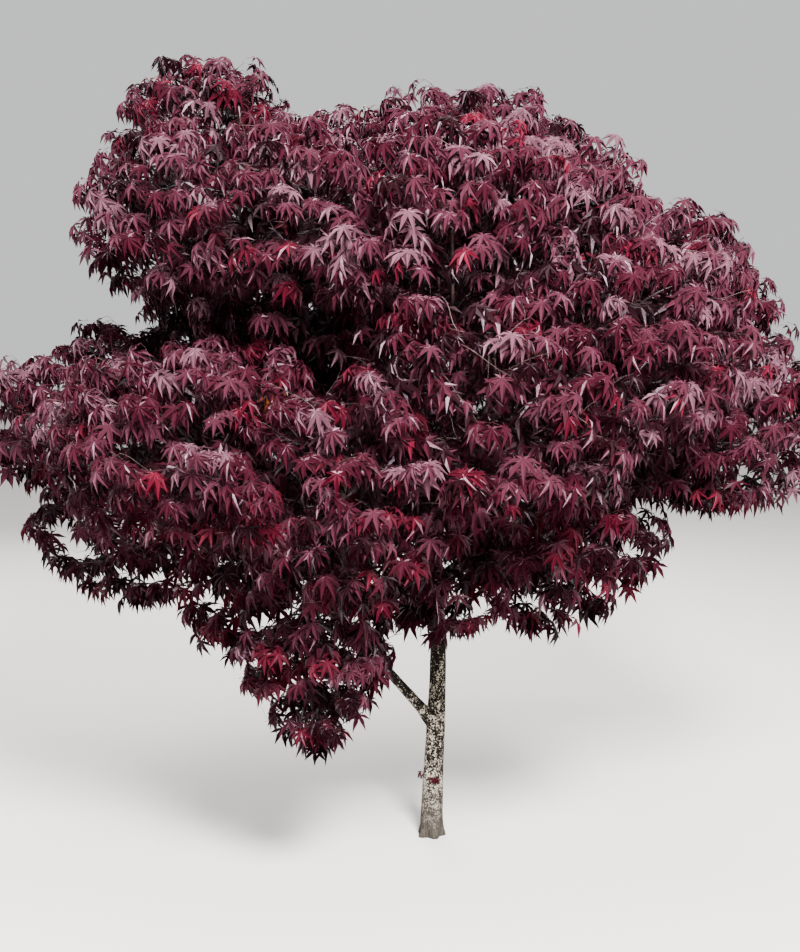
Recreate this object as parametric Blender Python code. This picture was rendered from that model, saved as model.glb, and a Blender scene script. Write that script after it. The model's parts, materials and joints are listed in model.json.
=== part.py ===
"""A young Japanese maple, rooted in the ground: a trunk, its boughs and limbs, and the foliage they carry.

Metres, +Z up. The origin is the middle of the flat cut under the trunk, at ground level. Every mass of foliage
grows by one seeded rule inside its own space: an egg-shaped reach, cut off by a flat wall towards each neighbour.
Run with blender --background --python part.py, or from Blender's text editor.
"""

import math
import random
from collections import namedtuple

import bmesh
import bpy
from mathutils import Matrix, Vector
from mathutils.bvhtree import BVHTree

SEAT_GAP = 0.0003  # between a piece and what it is seated on
UP = Vector((0.0, 0.0, 1.0))
GOLDEN_ANGLE = math.pi * (3.0 - math.sqrt(5.0))
WELD = 1e-6

# The trunk, from the cut to the top fork.
TRUNK_HEIGHT = 0.96
TRUNK_STATIONS = (
    # share of the height, lean to the right, lean to the back, radius
    (0.000, 0.000, 0.000, 0.0400),
    (0.035, 0.001, 0.000, 0.0365),
    (0.085, 0.003, 0.000, 0.0342),
    (0.180, 0.006, 0.001, 0.0325),
    (0.290, 0.011, 0.002, 0.0298),
    (0.380, 0.015, 0.003, 0.0292),
    (0.460, 0.018, 0.004, 0.0268),
    (0.590, 0.021, 0.006, 0.0250),
    (0.740, 0.018, 0.012, 0.0235),
    (0.880, 0.002, 0.016, 0.0215),
    (0.970, -0.012, 0.018, 0.0185),
    (1.000, -0.016, 0.018, 0.0130),
)
TRUNK_SIDES = 15
ROOT_LOBES = 5  # swellings where the main roots leave the trunk
ROOT_SWELL = 0.20  # of the radius, at the ground
ROOT_FADE = 0.075  # the height at which the swellings have died away
CUT_DEPTH = 0.004  # what lies lower than this is part of the flat cut

# Boughs leave the trunk, and limbs leave boughs or other limbs.
BOUGH_SIDES = 6
LIMB_SIDES = 5
LIMB_STEPS = 5
RISE = 0.40  # how far a limb keeps to its first heading, as a share of its length
SETTLE = 0.30  # how far it keeps to its last heading
UPRIGHTNESS = 0.9  # of the first heading: along the parent, against 1 straight out from it
TIP_TAPER = 0.55  # a limb's tip radius over its foot radius
ENTRY_MARGIN = 0.03  # a limb's tip lies this far inside the walls of its mass's space
ENTRY_FARTHEST = 0.92  # the farthest back that a limb may end, as a share of the mass's reach
LIMB_LEAST = 0.13  # how far a limb goes at least before its mass begins
ENTRY_STEPS = 46

# The twigs of one mass: a stem that runs on from the limb, and the shoots that branch from it.
SHOOTS = 5
MOST_HEADINGS = 60
STEM_REACH = 0.30  # how far past the middle of its mass the stem runs, as a share of the reach
STEM_FOOT = 0.010  # its first straight piece, square to the limb's end
STEM_STEPS = 2
SHOOT_REACH = 0.65  # where a shoot ends, as a share of the reach
SHOOT_LIFT = 0.4  # how much higher it ends, because its leaves hang, as a share of the reach upwards
NODE_PLACE = 0.45  # where one shoot may leave another, as a share of its length
SHOOT_MARGIN = 0.05  # from a shoot's tip to the walls of its space
DETOUR = 0.45  # what a longer way back to the stem costs a shoot, for each metre
TWIG_SIDES = 3
TWIG_TIP = 0.70  # a twig's tip radius over its foot radius
STEM_NODES = 6  # places along the stem where a shoot may leave it
STEM_RADIUS = 0.0070
SHOOT_RADIUS = 0.0036
SIDE_SHARE = 0.60  # the radius of a shoot that leaves another, over the other's
LEAST_RADIUS = 0.0022
LIMB_CLEARANCE = 0.004
WALL_CLEARANCE = 0.0015

# A leaf: three pointed lobes that spread from a hub, each leaf standing for a spray of the real ones.
LEAVES = 13  # the most on one mass
LEAF_LENGTH = 0.32  # from the hub to the tip of the middle lobe
LEAF_THICKNESS = 0.016  # at the hub, as a share of the length
LEAF_FOOT = 0.30  # from the root, inside the twig, to the hub, as a share of the length
LEAF_BASE = (125, 0.17)  # the two corners behind the hub: degrees from the middle lobe, share of the length
LOBES = ((-70, 0.90), (0, 1.00), (70, 0.90))  # degrees from the middle lobe, share of the length
NOTCH = 0.56  # how far from the hub the blade is whole, as a share of the length
LEAF_DROOP = 0.20  # how far the tip of the middle lobe hangs below the hub's plane, as a share of the length
PAIR_PLACES = (0.85, 0.55, 0.25)  # where a shoot carries its pairs of leaves, as shares of its length
LEAF_TRIES = 24
TRY_SHRINK = 0.025  # what each new try takes off a leaf's size, as a share
TRY_SWING = 4.5  # how much farther each new try may turn a leaf, in degrees
STEEPEST_RISE = 0.15  # a leaf's own heading never climbs more than this
FACE_RISE = 0.5  # how far a leaf turns its upper side up, against 1 straight out from its mass

# Where a shoot may start, how far that is from the stem's foot, and the shoot's radius there.
Node = namedtuple("Node", "place way_back room")
Limb = namedtuple("Limb", "path radii sides")
Mass = namedtuple("Mass", "name middle reach parent fork radius")
# What each mass is called, its middle, its half-widths, what its own limb leaves, how far up that it leaves
# (0 at the foot, 1 at the tip), and its own limb's radius there.
MASSES = (
    Mass("lower_left_front", (-0.63, -0.58, 1.26), (0.48, 0.47, 0.36), "trunk", 0.37, 0.0160),
    Mass("low_right", (0.32, -0.44, 1.03), (0.37, 0.41, 0.35), "trunk", 0.66, 0.0105),
    Mass("low_middle", (0.00, -0.44, 0.98), (0.38, 0.39, 0.31), "trunk", 0.73, 0.0100),
    Mass("lower_left", (-0.95, 0.00, 1.31), (0.48, 0.47, 0.34), "trunk", 0.79, 0.0120),
    Mass("back_left", (-0.60, 0.62, 1.43), (0.50, 0.47, 0.44), "trunk", 0.71, 0.0120),
    Mass("right_lower", (0.80, -0.26, 1.30), (0.46, 0.45, 0.29), "trunk", 0.82, 0.0120),
    Mass("back_right", (0.62, 0.56, 1.38), (0.49, 0.47, 0.44), "trunk", 0.77, 0.0120),
    Mass("middle_front", (0.12, -0.84, 1.40), (0.45, 0.43, 0.37), "trunk", 0.87, 0.0120),
    Mass("back_middle", (-0.02, 0.84, 1.45), (0.49, 0.43, 0.45), "trunk", 0.90, 0.0110),
    Mass("top_left", (-0.67, 0.02, 2.08), (0.34, 0.43, 0.36), "trunk", 0.95, 0.0140),
    Mass("top_right", (0.09, 0.02, 2.04), (0.46, 0.47, 0.32), "trunk", 0.95, 0.0140),
    Mass("bottom_left", (-0.40, -0.42, 0.87), (0.36, 0.40, 0.39), "lower_left_front", 0.42, 0.0085),
    Mass("bottom_middle", (-0.33, -0.52, 0.79), (0.27, 0.36, 0.44), "lower_left_front", 0.27, 0.0080),
    Mass("left_hanging", (-0.86, -0.20, 1.02), (0.38, 0.38, 0.30), "lower_left_front", 0.72, 0.0085),
    Mass("centre_left", (-0.24, -0.76, 1.16), (0.41, 0.41, 0.38), "lower_left_front", 0.62, 0.0080),
    Mass("back_low_left", (-0.45, 0.52, 0.97), (0.44, 0.40, 0.34), "back_left", 0.30, 0.0080),
    Mass("back_low_right", (0.32, 0.52, 0.95), (0.44, 0.40, 0.34), "back_right", 0.27, 0.0080),
    Mass("right_outer", (0.77, 0.04, 1.48), (0.36, 0.45, 0.40), "right_lower", 0.55, 0.0085),
    Mass("right_front", (0.45, -0.66, 1.57), (0.40, 0.44, 0.38), "middle_front", 0.45, 0.0085),
    Mass("middle_upper", (0.04, -0.58, 1.81), (0.41, 0.43, 0.39), "middle_front", 0.62, 0.0075),
    Mass("left_middle", (-0.61, -0.28, 1.88), (0.44, 0.47, 0.34), "top_left", 0.52, 0.0095),
    Mass("left_shoulder", (-0.36, -0.44, 1.88), (0.41, 0.43, 0.31), "top_left", 0.70, 0.0075),
    Mass("left_inner", (-0.38, -0.24, 1.66), (0.37, 0.38, 0.36), "top_left", 0.34, 0.0075),
    Mass("back_left_high", (-0.45, 0.50, 1.89), (0.49, 0.45, 0.43), "top_left", 0.60, 0.0080),
    Mass("top_middle", (-0.23, 0.20, 1.95), (0.43, 0.45, 0.35), "top_right", 0.55, 0.0080),
    Mass("right_upper", (0.59, -0.16, 1.70), (0.38, 0.45, 0.32), "top_right", 0.45, 0.0095),
    Mass("right_middle", (0.30, -0.44, 1.83), (0.35, 0.40, 0.35), "top_right", 0.66, 0.0070),
    Mass("back_right_high", (0.28, 0.48, 1.88), (0.48, 0.45, 0.44), "top_right", 0.58, 0.0080),
    Mass("right_tip", (0.76, 0.32, 1.76), (0.32, 0.29, 0.26), "right_upper", 0.70, 0.0060),
)

BARK = ("bark", (0.43, 0.39, 0.35), 0.85)
FOLIAGE = ("foliage", (0.15, 0.025, 0.042), 0.55)


# ---------------------------------------------------------------- meshes and materials


def clear_scene():
    """Removes whatever the file opened with."""
    for thing in list(bpy.data.objects):
        bpy.data.objects.remove(thing)


def new_collection(name):
    """A collection of this name, in the scene."""
    collection = bpy.data.collections.new(name)
    bpy.context.scene.collection.children.link(collection)
    return collection


def plain_material(name, colour, roughness):
    """A Principled material of one colour and roughness, with no metal in it."""
    material = bpy.data.materials.new(name)
    material.use_nodes = True
    shader = material.node_tree.nodes["Principled BSDF"]
    shader.inputs["Base Color"].default_value = (*colour, 1.0)
    shader.inputs["Roughness"].default_value = roughness
    shader.inputs["Metallic"].default_value = 0.0
    return material


def add_object(name, shape, collection):
    """A new object of this mesh or curve in this collection."""
    thing = bpy.data.objects.new(name, shape)
    collection.objects.link(thing)
    return thing


def evaluated_mesh(thing):
    """A mesh of its own, of what the object's curve or modifiers make."""
    graph = bpy.context.evaluated_depsgraph_get()
    return bpy.data.meshes.new_from_object(thing.evaluated_get(graph), depsgraph=graph)


def tidy_mesh(mesh):
    """Welds a mesh's loose seams and turns its faces out."""
    work = bmesh.new()
    work.from_mesh(mesh)
    bmesh.ops.remove_doubles(work, verts=work.verts, dist=WELD)
    bmesh.ops.recalc_face_normals(work, faces=work.faces)
    work.to_mesh(mesh)
    work.free()
    return mesh


def tube_mesh(path, radii, sides):
    """A closed tube along the path, with its own radius at each point and this many sides."""
    scene = bpy.context.scene.collection
    ring = bpy.data.curves.new("section", "CURVE")
    outline = ring.splines.new("POLY")
    outline.points.add(sides - 1)
    for i, point in enumerate(outline.points):
        turn = 2.0 * math.pi * i / sides
        point.co = (math.cos(turn), math.sin(turn), 0.0, 1.0)
    outline.use_cyclic_u = True
    curve = bpy.data.curves.new("tube", "CURVE")
    curve.dimensions = "3D"
    curve.use_fill_caps = True
    curve.bevel_mode = "OBJECT"
    curve.bevel_object = add_object("section", ring, scene)
    spline = curve.splines.new("POLY")
    spline.points.add(len(path) - 1)
    for point, place, radius in zip(spline.points, path, radii):
        point.co = (*place, 1.0)
        point.radius = radius
    mesh = evaluated_mesh(add_object("tube", curve, scene))
    bpy.data.curves.remove(curve)
    bpy.data.curves.remove(ring)
    return tidy_mesh(mesh)


def surface_of(mesh):
    """The mesh as a search tree of its faces."""
    faces = [tuple(p.vertices) for p in mesh.polygons]
    return BVHTree.FromPolygons([v.co.copy() for v in mesh.vertices], faces)


def largest_piece(mesh):
    """Leaves only the largest joined piece of a mesh, so that loose scraps and sealed hollows are gone."""
    work = bmesh.new()
    work.from_mesh(mesh)
    unseen = set(work.verts)
    pieces = []
    while unseen:
        piece = [unseen.pop()]
        for vertex in piece:
            for edge in vertex.link_edges:
                end = edge.other_vert(vertex)
                if end in unseen:
                    unseen.discard(end)
                    piece.append(end)
        pieces.append(piece)
    pieces.sort(key=len)
    scraps = [vertex for piece in pieces[:-1] for vertex in piece]
    bmesh.ops.delete(work, geom=scraps, context="VERTS")
    work.to_mesh(mesh)
    work.free()
    return mesh


# ---------------------------------------------------------------- paths


def bezier(a, b, c, d, steps):
    """Points along a cubic curve from a to d."""
    points = []
    for i in range(steps + 1):
        t = i / steps
        s = 1.0 - t
        points.append(a * s**3 + b * 3 * s * s * t + c * 3 * s * t * t + d * t**3)
    return points


def place_along(path, share):
    """The point, and the heading there, at this share of a path's length."""
    lengths = [(q - p).length for p, q in zip(path, path[1:])]
    left = share * sum(lengths)
    for p, q, length in zip(path, path[1:], lengths):
        if left <= length:
            return p.lerp(q, left / length), (q - p).normalized()
        left -= length
    return path[-1].copy(), (path[-1] - path[-2]).normalized()


def square_to(heading, way):
    """The part of way that is square to heading, as a unit vector."""
    out = way - heading * way.dot(heading)
    return out.normalized() if out.length > WELD else heading.orthogonal().normalized()


def tapered(radius, tip_share, steps):
    """Radii from a foot of this radius to a tip of this share of it."""
    return [radius * (1.0 - (1.0 - tip_share) * i / steps) for i in range(steps + 1)]


# ---------------------------------------------------------------- the space of one mass


def half_width(mass, heading):
    """From the middle of a mass to the edge of its reach, along a unit heading."""
    return 1.0 / math.sqrt(sum((h / r) ** 2 for h, r in zip(heading, mass.reach)))


def walls_of(mass):
    """The walls of a mass: (the way each faces, its distance from the middle of the mass)."""
    walls = []
    for other in MASSES:
        if other is mass:
            continue
        between = Vector(other.middle) - Vector(mass.middle)
        facing = between.normalized()
        own, theirs = half_width(mass, facing), half_width(other, facing)
        walls.append((facing, between.length * own / (own + theirs)))
    return walls


def inside(mass, walls, point, margin):
    """True if the point is within the mass's reach, above the ground, and at least margin from every wall."""
    away = point - Vector(mass.middle)
    if sum((a / r) ** 2 for a, r in zip(away, mass.reach)) > 1.0 or point.z < 0.0:
        return False
    return all(away.dot(facing) <= distance - margin for facing, distance in walls)


# ---------------------------------------------------------------- trunk, boughs and limbs


def trunk_mesh(grow=0.0):
    """The trunk, larger by grow: a tapering tube, cut flat at the ground and swollen over each main root."""
    path = [Vector((right, back, share * TRUNK_HEIGHT)) for share, right, back, _ in TRUNK_STATIONS]
    path[-1] += (path[-1] - path[-2]).normalized() * grow
    mesh = tube_mesh(path, [radius + grow for *_, radius in TRUNK_STATIONS], TRUNK_SIDES)
    for vertex in mesh.vertices:
        if vertex.co.z < CUT_DEPTH:
            vertex.co.z = 0.0
        fade = max(0.0, 1.0 - vertex.co.z / ROOT_FADE) ** 2
        turn = math.atan2(vertex.co.y, vertex.co.x)
        swell = 1.0 + ROOT_SWELL * fade * math.cos(ROOT_LOBES * turn)
        vertex.co.x *= swell
        vertex.co.y *= swell
    return mesh


def limb_mesh(limb, grow=0.0):
    """A limb's tube, thicker all round by grow."""
    return tube_mesh(limb.path, [radius + grow for radius in limb.radii], limb.sides)


def trunk_limb():
    """The trunk as a limb that others leave."""
    path = [Vector((right, back, share * TRUNK_HEIGHT)) for share, right, back, _ in TRUNK_STATIONS]
    return Limb(path, [radius for *_, radius in TRUNK_STATIONS], TRUNK_SIDES)


def entry_point(mass, walls, start):
    """Where a limb that comes from start enters its mass: as far back as the walls allow."""
    middle = Vector(mass.middle)
    back = (start - middle).normalized()
    far = half_width(mass, back)
    for step in range(ENTRY_STEPS):
        point = middle + back * far * ENTRY_FARTHEST * (1.0 - step / ENTRY_STEPS)
        if inside(mass, walls, point, ENTRY_MARGIN) and (point - start).length > LIMB_LEAST:
            return point
    return middle


def limb_of(mass, parent):
    """The limb that carries a mass, from the middle of its parent to where it enters the mass."""
    start, along = place_along(parent.path, mass.fork)
    tip = entry_point(mass, walls_of(mass), start)
    way = tip - start
    first = (along * UPRIGHTNESS + square_to(along, way)).normalized()
    last = (Vector(mass.middle) - tip).normalized()
    rise, settle = first * way.length * RISE, last * way.length * SETTLE
    path = bezier(start, start + rise, tip - settle, tip, LIMB_STEPS)
    sides = BOUGH_SIDES if mass.parent == "trunk" else LIMB_SIDES
    return Limb(path, tapered(mass.radius, TIP_TAPER, LIMB_STEPS), sides)


def cut_foot(limb, cutter_mesh, cutters):
    """Cuts from a limb what lies in its parent, so that its foot is seated on the parent's bark."""
    cutter = add_object("cutter", cutter_mesh, cutters)
    cutter.hide_render = True
    cut = limb.modifiers.new("seat", "BOOLEAN")
    cut.operation = "DIFFERENCE"
    cut.solver = "EXACT"
    cut.object = cutter
    limb.data = largest_piece(tidy_mesh(evaluated_mesh(limb)))
    limb.modifiers.clear()
    bpy.data.objects.remove(cutter)


def build_wood(tree, cutters, bark):
    """Makes the trunk and every limb. Returns the limbs by mass, and a slightly wider search tree of each."""
    limbs = {"trunk": trunk_limb()}
    trunk = add_object("trunk", trunk_mesh(), tree)
    trunk.data.materials.append(bark)
    wood = [surface_of(trunk_mesh(LIMB_CLEARANCE))]
    for mass in MASSES:
        parent = limbs[mass.parent]
        limb = limb_of(mass, parent)
        from_trunk = mass.parent == "trunk"
        piece = add_object(("bough_" if from_trunk else "limb_") + mass.name, limb_mesh(limb), tree)
        cut_foot(piece, trunk_mesh(SEAT_GAP) if from_trunk else limb_mesh(parent, SEAT_GAP), cutters)
        piece.data.materials.append(bark)
        limbs[mass.name] = limb
        wood.append(surface_of(limb_mesh(limb, LIMB_CLEARANCE)))
    return limbs, wood


# ---------------------------------------------------------------- foliage


def even_headings(count, phase):
    """Unit vectors spread evenly all round, turned by phase."""
    headings = []
    for i in range(count):
        z = 1.0 - (2.0 * i + 1.0) / count
        flat = math.sqrt(1.0 - z * z)
        turn = i * GOLDEN_ANGLE + phase
        headings.append(Vector((flat * math.cos(turn), flat * math.sin(turn), z)))
    return headings


def shoot_tips(mass, walls, count, phase):
    """Where the shoots of a mass end: spread evenly over its reach, on its own side of every wall."""
    middle = Vector(mass.middle)
    tips = []
    for tried in range(count, MOST_HEADINGS):
        tips = []
        for heading in even_headings(tried, phase):
            tip = middle + Vector(h * r * SHOOT_REACH for h, r in zip(heading, mass.reach))
            tip.z += mass.reach[2] * SHOOT_LIFT
            if inside(mass, walls, tip, SHOOT_MARGIN):
                tips.append(tip)
        if len(tips) >= count:
            break
    return tips


def stem_path(mass, limb):
    """The stem of a mass: it goes on from the limb's tip, through the middle of the mass and past it."""
    tip = limb.path[-1]
    heading = (limb.path[-1] - limb.path[-2]).normalized()
    middle = Vector(mass.middle)
    onward = (middle - tip).normalized()
    end = middle + onward * half_width(mass, onward) * STEM_REACH
    foot = tip + heading * SEAT_GAP
    start = foot + heading * STEM_FOOT
    bend = (end - start).length / 3.0
    return [foot] + bezier(start, start + heading * bend, end - onward * bend, end, STEM_STEPS)


def shoot_to(tip, nodes):
    """The place on a twig with the best way back to the stem, and the shoot from there to this tip."""
    node = min(nodes, key=lambda node: (tip - node.place).length + DETOUR * node.way_back)
    return node, [node.place, tip], tapered(node.room, TWIG_TIP, 1)


def touches(surface, others):
    """True if the surface crosses any of the others."""
    return any(surface.overlap(other) for other in others)


def grow_twigs(mass, limb, wood, walls, chance):
    """The meshes of a mass's stem and of the shoots that branch from it, and the shoots' paths."""
    stem = stem_path(mass, limb)
    thickness = min(limb.radii[-1], STEM_RADIUS)
    twigs = [tube_mesh(stem, tapered(thickness, TWIG_TIP, STEM_STEPS + 1), TWIG_SIDES)]
    nodes = []
    for i in range(STEM_NODES):
        place, _ = place_along(stem, (i + 1.0) / (STEM_NODES + 0.5))
        nodes.append(Node(place, (place - stem[0]).length, SHOOT_RADIUS))
    shoots = []
    tips = shoot_tips(mass, walls, SHOOTS, chance.uniform(0.0, 2.0 * math.pi))
    for tip in sorted(tips, key=lambda point: (point - stem[0]).length):
        node, path, radii = shoot_to(tip, nodes)
        mesh = tube_mesh(path, radii, TWIG_SIDES)
        if touches(surface_of(mesh), wood):
            continue
        twigs.append(mesh)
        shoots.append(path)
        nodes.remove(node)
        place = path[0].lerp(path[1], NODE_PLACE)
        room = max(node.room * SIDE_SHARE, LEAST_RADIUS)
        nodes.append(Node(place, node.way_back + (place - path[0]).length, room))
    return twigs, shoots


def leaf_mesh(root, along, face, length):
    """A leaf: a thin star of lobes round a hub, its middle lobe along, its upper side turned to face."""
    side = face.cross(along).normalized()
    face = along.cross(side).normalized()
    hub = root + along * length * LEAF_FOOT

    def rim_point(degrees, share):
        """A point of the blade's rim. It droops with the square of its distance from the hub."""
        turn = math.radians(degrees)
        flat = along * math.cos(turn) + side * math.sin(turn)
        return hub + flat * length * share - face * length * LEAF_DROOP * share * share

    rim = [root, rim_point(-LEAF_BASE[0], LEAF_BASE[1]), rim_point(*LOBES[0])]
    for (before, _), (degrees, share) in zip(LOBES, LOBES[1:]):
        rim.append(rim_point((before + degrees) / 2.0, NOTCH))
        rim.append(rim_point(degrees, share))
    rim.append(rim_point(*LEAF_BASE))
    work = bmesh.new()
    corners = [work.verts.new(point) for point in rim]
    half = face * length * LEAF_THICKNESS / 2.0
    top, bottom = work.verts.new(hub + half), work.verts.new(hub - half)
    for a, b in zip(corners, corners[1:] + corners[:1]):
        work.faces.new((top, a, b))
        work.faces.new((bottom, b, a))
    bmesh.ops.recalc_face_normals(work, faces=work.faces)
    mesh = bpy.data.meshes.new("leaf")
    work.to_mesh(mesh)
    work.free()
    return mesh


def blade_surface(mesh):
    """A search tree of a leaf's faces without those at its root, which meet its own twig."""
    faces = [tuple(p.vertices) for p in mesh.polygons if 0 not in p.vertices]
    return BVHTree.FromPolygons([v.co.copy() for v in mesh.vertices], faces)


def place_leaf(mass, walls, place, taken, wood, chance):
    """The first leaf of a few tries that stays in the mass's space and touches nothing, or None."""
    root, along = place
    face = square_to(along, UP * FACE_RISE + (root - Vector(mass.middle)).normalized())
    across = face.cross(along).normalized()
    for tried in range(LEAF_TRIES):
        swing = math.radians(TRY_SWING * tried)
        turn = Matrix.Rotation(chance.uniform(-swing, swing), 3, face)
        tilt = Matrix.Rotation(chance.uniform(-swing, swing), 3, across)
        heading = (turn @ tilt @ along).normalized()
        if heading.z > STEEPEST_RISE:
            continue
        leaf = leaf_mesh(root, heading, face, LEAF_LENGTH * (1.0 - TRY_SHRINK * tried))
        if all(inside(mass, walls, v.co, WALL_CLEARANCE) for v in leaf.vertices):
            if not touches(blade_surface(leaf), taken) and not touches(surface_of(leaf), wood):
                return leaf
        bpy.data.meshes.remove(leaf)
    return None


def end_leaf(path, middle):
    """(root, heading) of the leaf at a shoot's tip. It reaches out from the mass and hangs."""
    end = (path[-1] - path[-2]).normalized()
    outward = (path[-1] - middle).normalized()
    heading = (end * 0.35 + outward * 0.55 - UP * 0.60).normalized()
    return path[-1] - end * SHOOT_RADIUS * 2.0, heading


def leaf_pair(path, share, middle):
    """(root, heading) of the two leaves that stand on opposite sides of a shoot, this far along it."""
    place, along = place_along(path, share)
    outward = (place - middle).normalized()
    side = square_to(along, along.cross(UP))
    pair = []
    for hand in (-1.0, 1.0):
        heading = (side * hand * 0.80 + along * 0.25 + outward * 0.25 - UP * 0.50).normalized()
        pair.append((place - heading * LEAST_RADIUS * 0.4, heading))
    return pair


def grow_leaves(mass, shoots, twigs, wood, walls, chance):
    """The meshes of a mass's leaves: one at each shoot's tip, then pairs farther and farther back."""
    middle = Vector(mass.middle)
    places = [end_leaf(path, middle) for path in shoots]
    for share in PAIR_PLACES:
        for path in shoots:
            places += leaf_pair(path, share, middle)
    taken = [surface_of(mesh) for mesh in twigs]
    leaves = []
    for place in places:
        if len(leaves) == LEAVES:
            break
        leaf = place_leaf(mass, walls, place, taken, wood, chance)
        if leaf is not None:
            leaves.append(leaf)
            taken.append(surface_of(leaf))
    return leaves


def join(name, first, others, tree, cutters):
    """One solid of all these meshes, by a Boolean union on a collection of them."""
    whole = add_object(name, first, tree)
    pieces = bpy.data.collections.new(name + "_pieces")
    cutters.children.link(pieces)
    for mesh in others:
        add_object(name + "_piece", mesh, pieces).hide_render = True
    union = whole.modifiers.new("join", "BOOLEAN")
    union.operation = "UNION"
    union.operand_type = "COLLECTION"
    union.collection = pieces
    union.solver = "EXACT"
    whole.data = largest_piece(evaluated_mesh(whole))
    whole.modifiers.clear()
    for piece in list(pieces.objects):
        bpy.data.objects.remove(piece)
    bpy.data.collections.remove(pieces)
    return whole


def grow_foliage(mass, limb, wood, tree, cutters, material):
    """Grows one mass: its stem, its shoots and their leaves, joined into one solid."""
    chance = random.Random(mass.name)
    walls = walls_of(mass)
    twigs, shoots = grow_twigs(mass, limb, wood, walls, chance)
    leaves = grow_leaves(mass, shoots, twigs, wood, walls, chance)
    whole = join("foliage_" + mass.name, twigs[0], twigs[1:] + leaves, tree, cutters)
    whole.data.materials.clear()
    whole.data.materials.append(material)


def main():
    """Builds the tree."""
    clear_scene()
    tree = new_collection("japanese_maple")
    cutters = new_collection("cutters")
    cutters.hide_render = True
    bark = plain_material(*BARK)
    foliage = plain_material(*FOLIAGE)
    limbs, wood = build_wood(tree, cutters, bark)
    for mass in MASSES:
        grow_foliage(mass, limbs[mass.name], wood, tree, cutters, foliage)


if __name__ == "__main__":
    main()
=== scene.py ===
"""A young Japanese maple, dressed: bark with its relief, boughs, twigs, and leaves in hanging sprays.

Metres, +Z up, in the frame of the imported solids: the origin is the middle of the flat cut under the
trunk. Trunk, limbs and masses follow the rule that the solids follow, carried on to finer twigs within
the same reach.
"""

from __future__ import annotations

import json
import logging
import math
import random
from collections.abc import Callable, Iterable, Sequence
from dataclasses import dataclass
from enum import Enum
from functools import partial
from itertools import accumulate

import bmesh
import bpy
import numpy as np
from bpy.types import Camera, ColorRamp, Light, Material, Mesh, Node, NodeSocket, NodeTree, Object
from mathutils import Matrix, Vector
from mathutils.bvhtree import BVHTree

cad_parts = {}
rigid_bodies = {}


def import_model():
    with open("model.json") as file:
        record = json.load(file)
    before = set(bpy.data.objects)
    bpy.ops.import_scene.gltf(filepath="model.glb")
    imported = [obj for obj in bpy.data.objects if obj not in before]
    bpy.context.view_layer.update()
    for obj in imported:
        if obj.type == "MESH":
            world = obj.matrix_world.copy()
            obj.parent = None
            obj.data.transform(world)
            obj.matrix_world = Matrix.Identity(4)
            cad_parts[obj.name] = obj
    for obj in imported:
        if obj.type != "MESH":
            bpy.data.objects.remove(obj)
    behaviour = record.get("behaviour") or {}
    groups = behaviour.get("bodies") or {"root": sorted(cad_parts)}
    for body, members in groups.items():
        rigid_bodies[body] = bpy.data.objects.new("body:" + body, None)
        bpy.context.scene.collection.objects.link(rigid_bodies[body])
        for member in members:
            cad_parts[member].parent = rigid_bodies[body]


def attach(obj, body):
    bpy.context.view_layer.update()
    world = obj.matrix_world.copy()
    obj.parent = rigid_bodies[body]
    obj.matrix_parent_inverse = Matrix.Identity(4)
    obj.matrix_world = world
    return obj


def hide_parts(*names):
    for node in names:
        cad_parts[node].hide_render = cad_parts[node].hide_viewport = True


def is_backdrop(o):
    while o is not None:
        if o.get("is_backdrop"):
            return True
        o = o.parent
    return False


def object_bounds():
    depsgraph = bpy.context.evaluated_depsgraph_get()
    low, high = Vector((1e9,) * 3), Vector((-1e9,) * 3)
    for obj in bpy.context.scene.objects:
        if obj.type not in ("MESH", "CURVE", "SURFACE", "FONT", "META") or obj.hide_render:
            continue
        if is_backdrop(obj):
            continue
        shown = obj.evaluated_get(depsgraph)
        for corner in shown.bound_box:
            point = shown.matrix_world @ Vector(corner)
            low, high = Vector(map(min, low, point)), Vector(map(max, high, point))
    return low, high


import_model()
CAD_LOW, CAD_HIGH = (Vector(corner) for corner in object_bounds())

BODY = "root"
UP = Vector((0.0, 0.0, 1.0))
FRONT = Vector((0.0, -1.0, 0.0))  # the side that the camera sees
GOLDEN_ANGLE = math.pi * (3.0 - math.sqrt(5.0))
TINY = 1e-6

Triple = tuple[float, float, float]
Stops = tuple[tuple[float, str], ...]  # the stops of a colour ramp: value of the pattern, colour
Feeds = dict[str | int, object]  # what the inputs of a node get, by their names or numbers
Adder = Callable[..., Node]  # add_node for one tree
SOCKETS = {float: "NodeSocketFloat", int: "NodeSocketInt"}

log = logging.getLogger("maple")


# ---------------- the tree's plan


@dataclass(frozen=True)
class Mass:
    """One mass of foliage: the space that it fills, and the limb that carries it."""

    name: str
    middle: Triple
    reach: Triple
    parent: str
    fork: float  # how far up its parent the limb leaves, from 0 at the foot to 1 at the tip
    radius: float  # the limb's own there

    def limb_solid(self) -> str:
        """The name of the solid of the mass's own limb."""
        return ("bough_" if self.parent == "trunk" else "limb_") + self.name

    def half_width(self, heading: Vector) -> float:
        """From the middle to the edge of the reach, along a unit heading."""
        return 1.0 / math.sqrt(sum((h / r) ** 2 for h, r in zip(heading, self.reach)))


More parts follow.
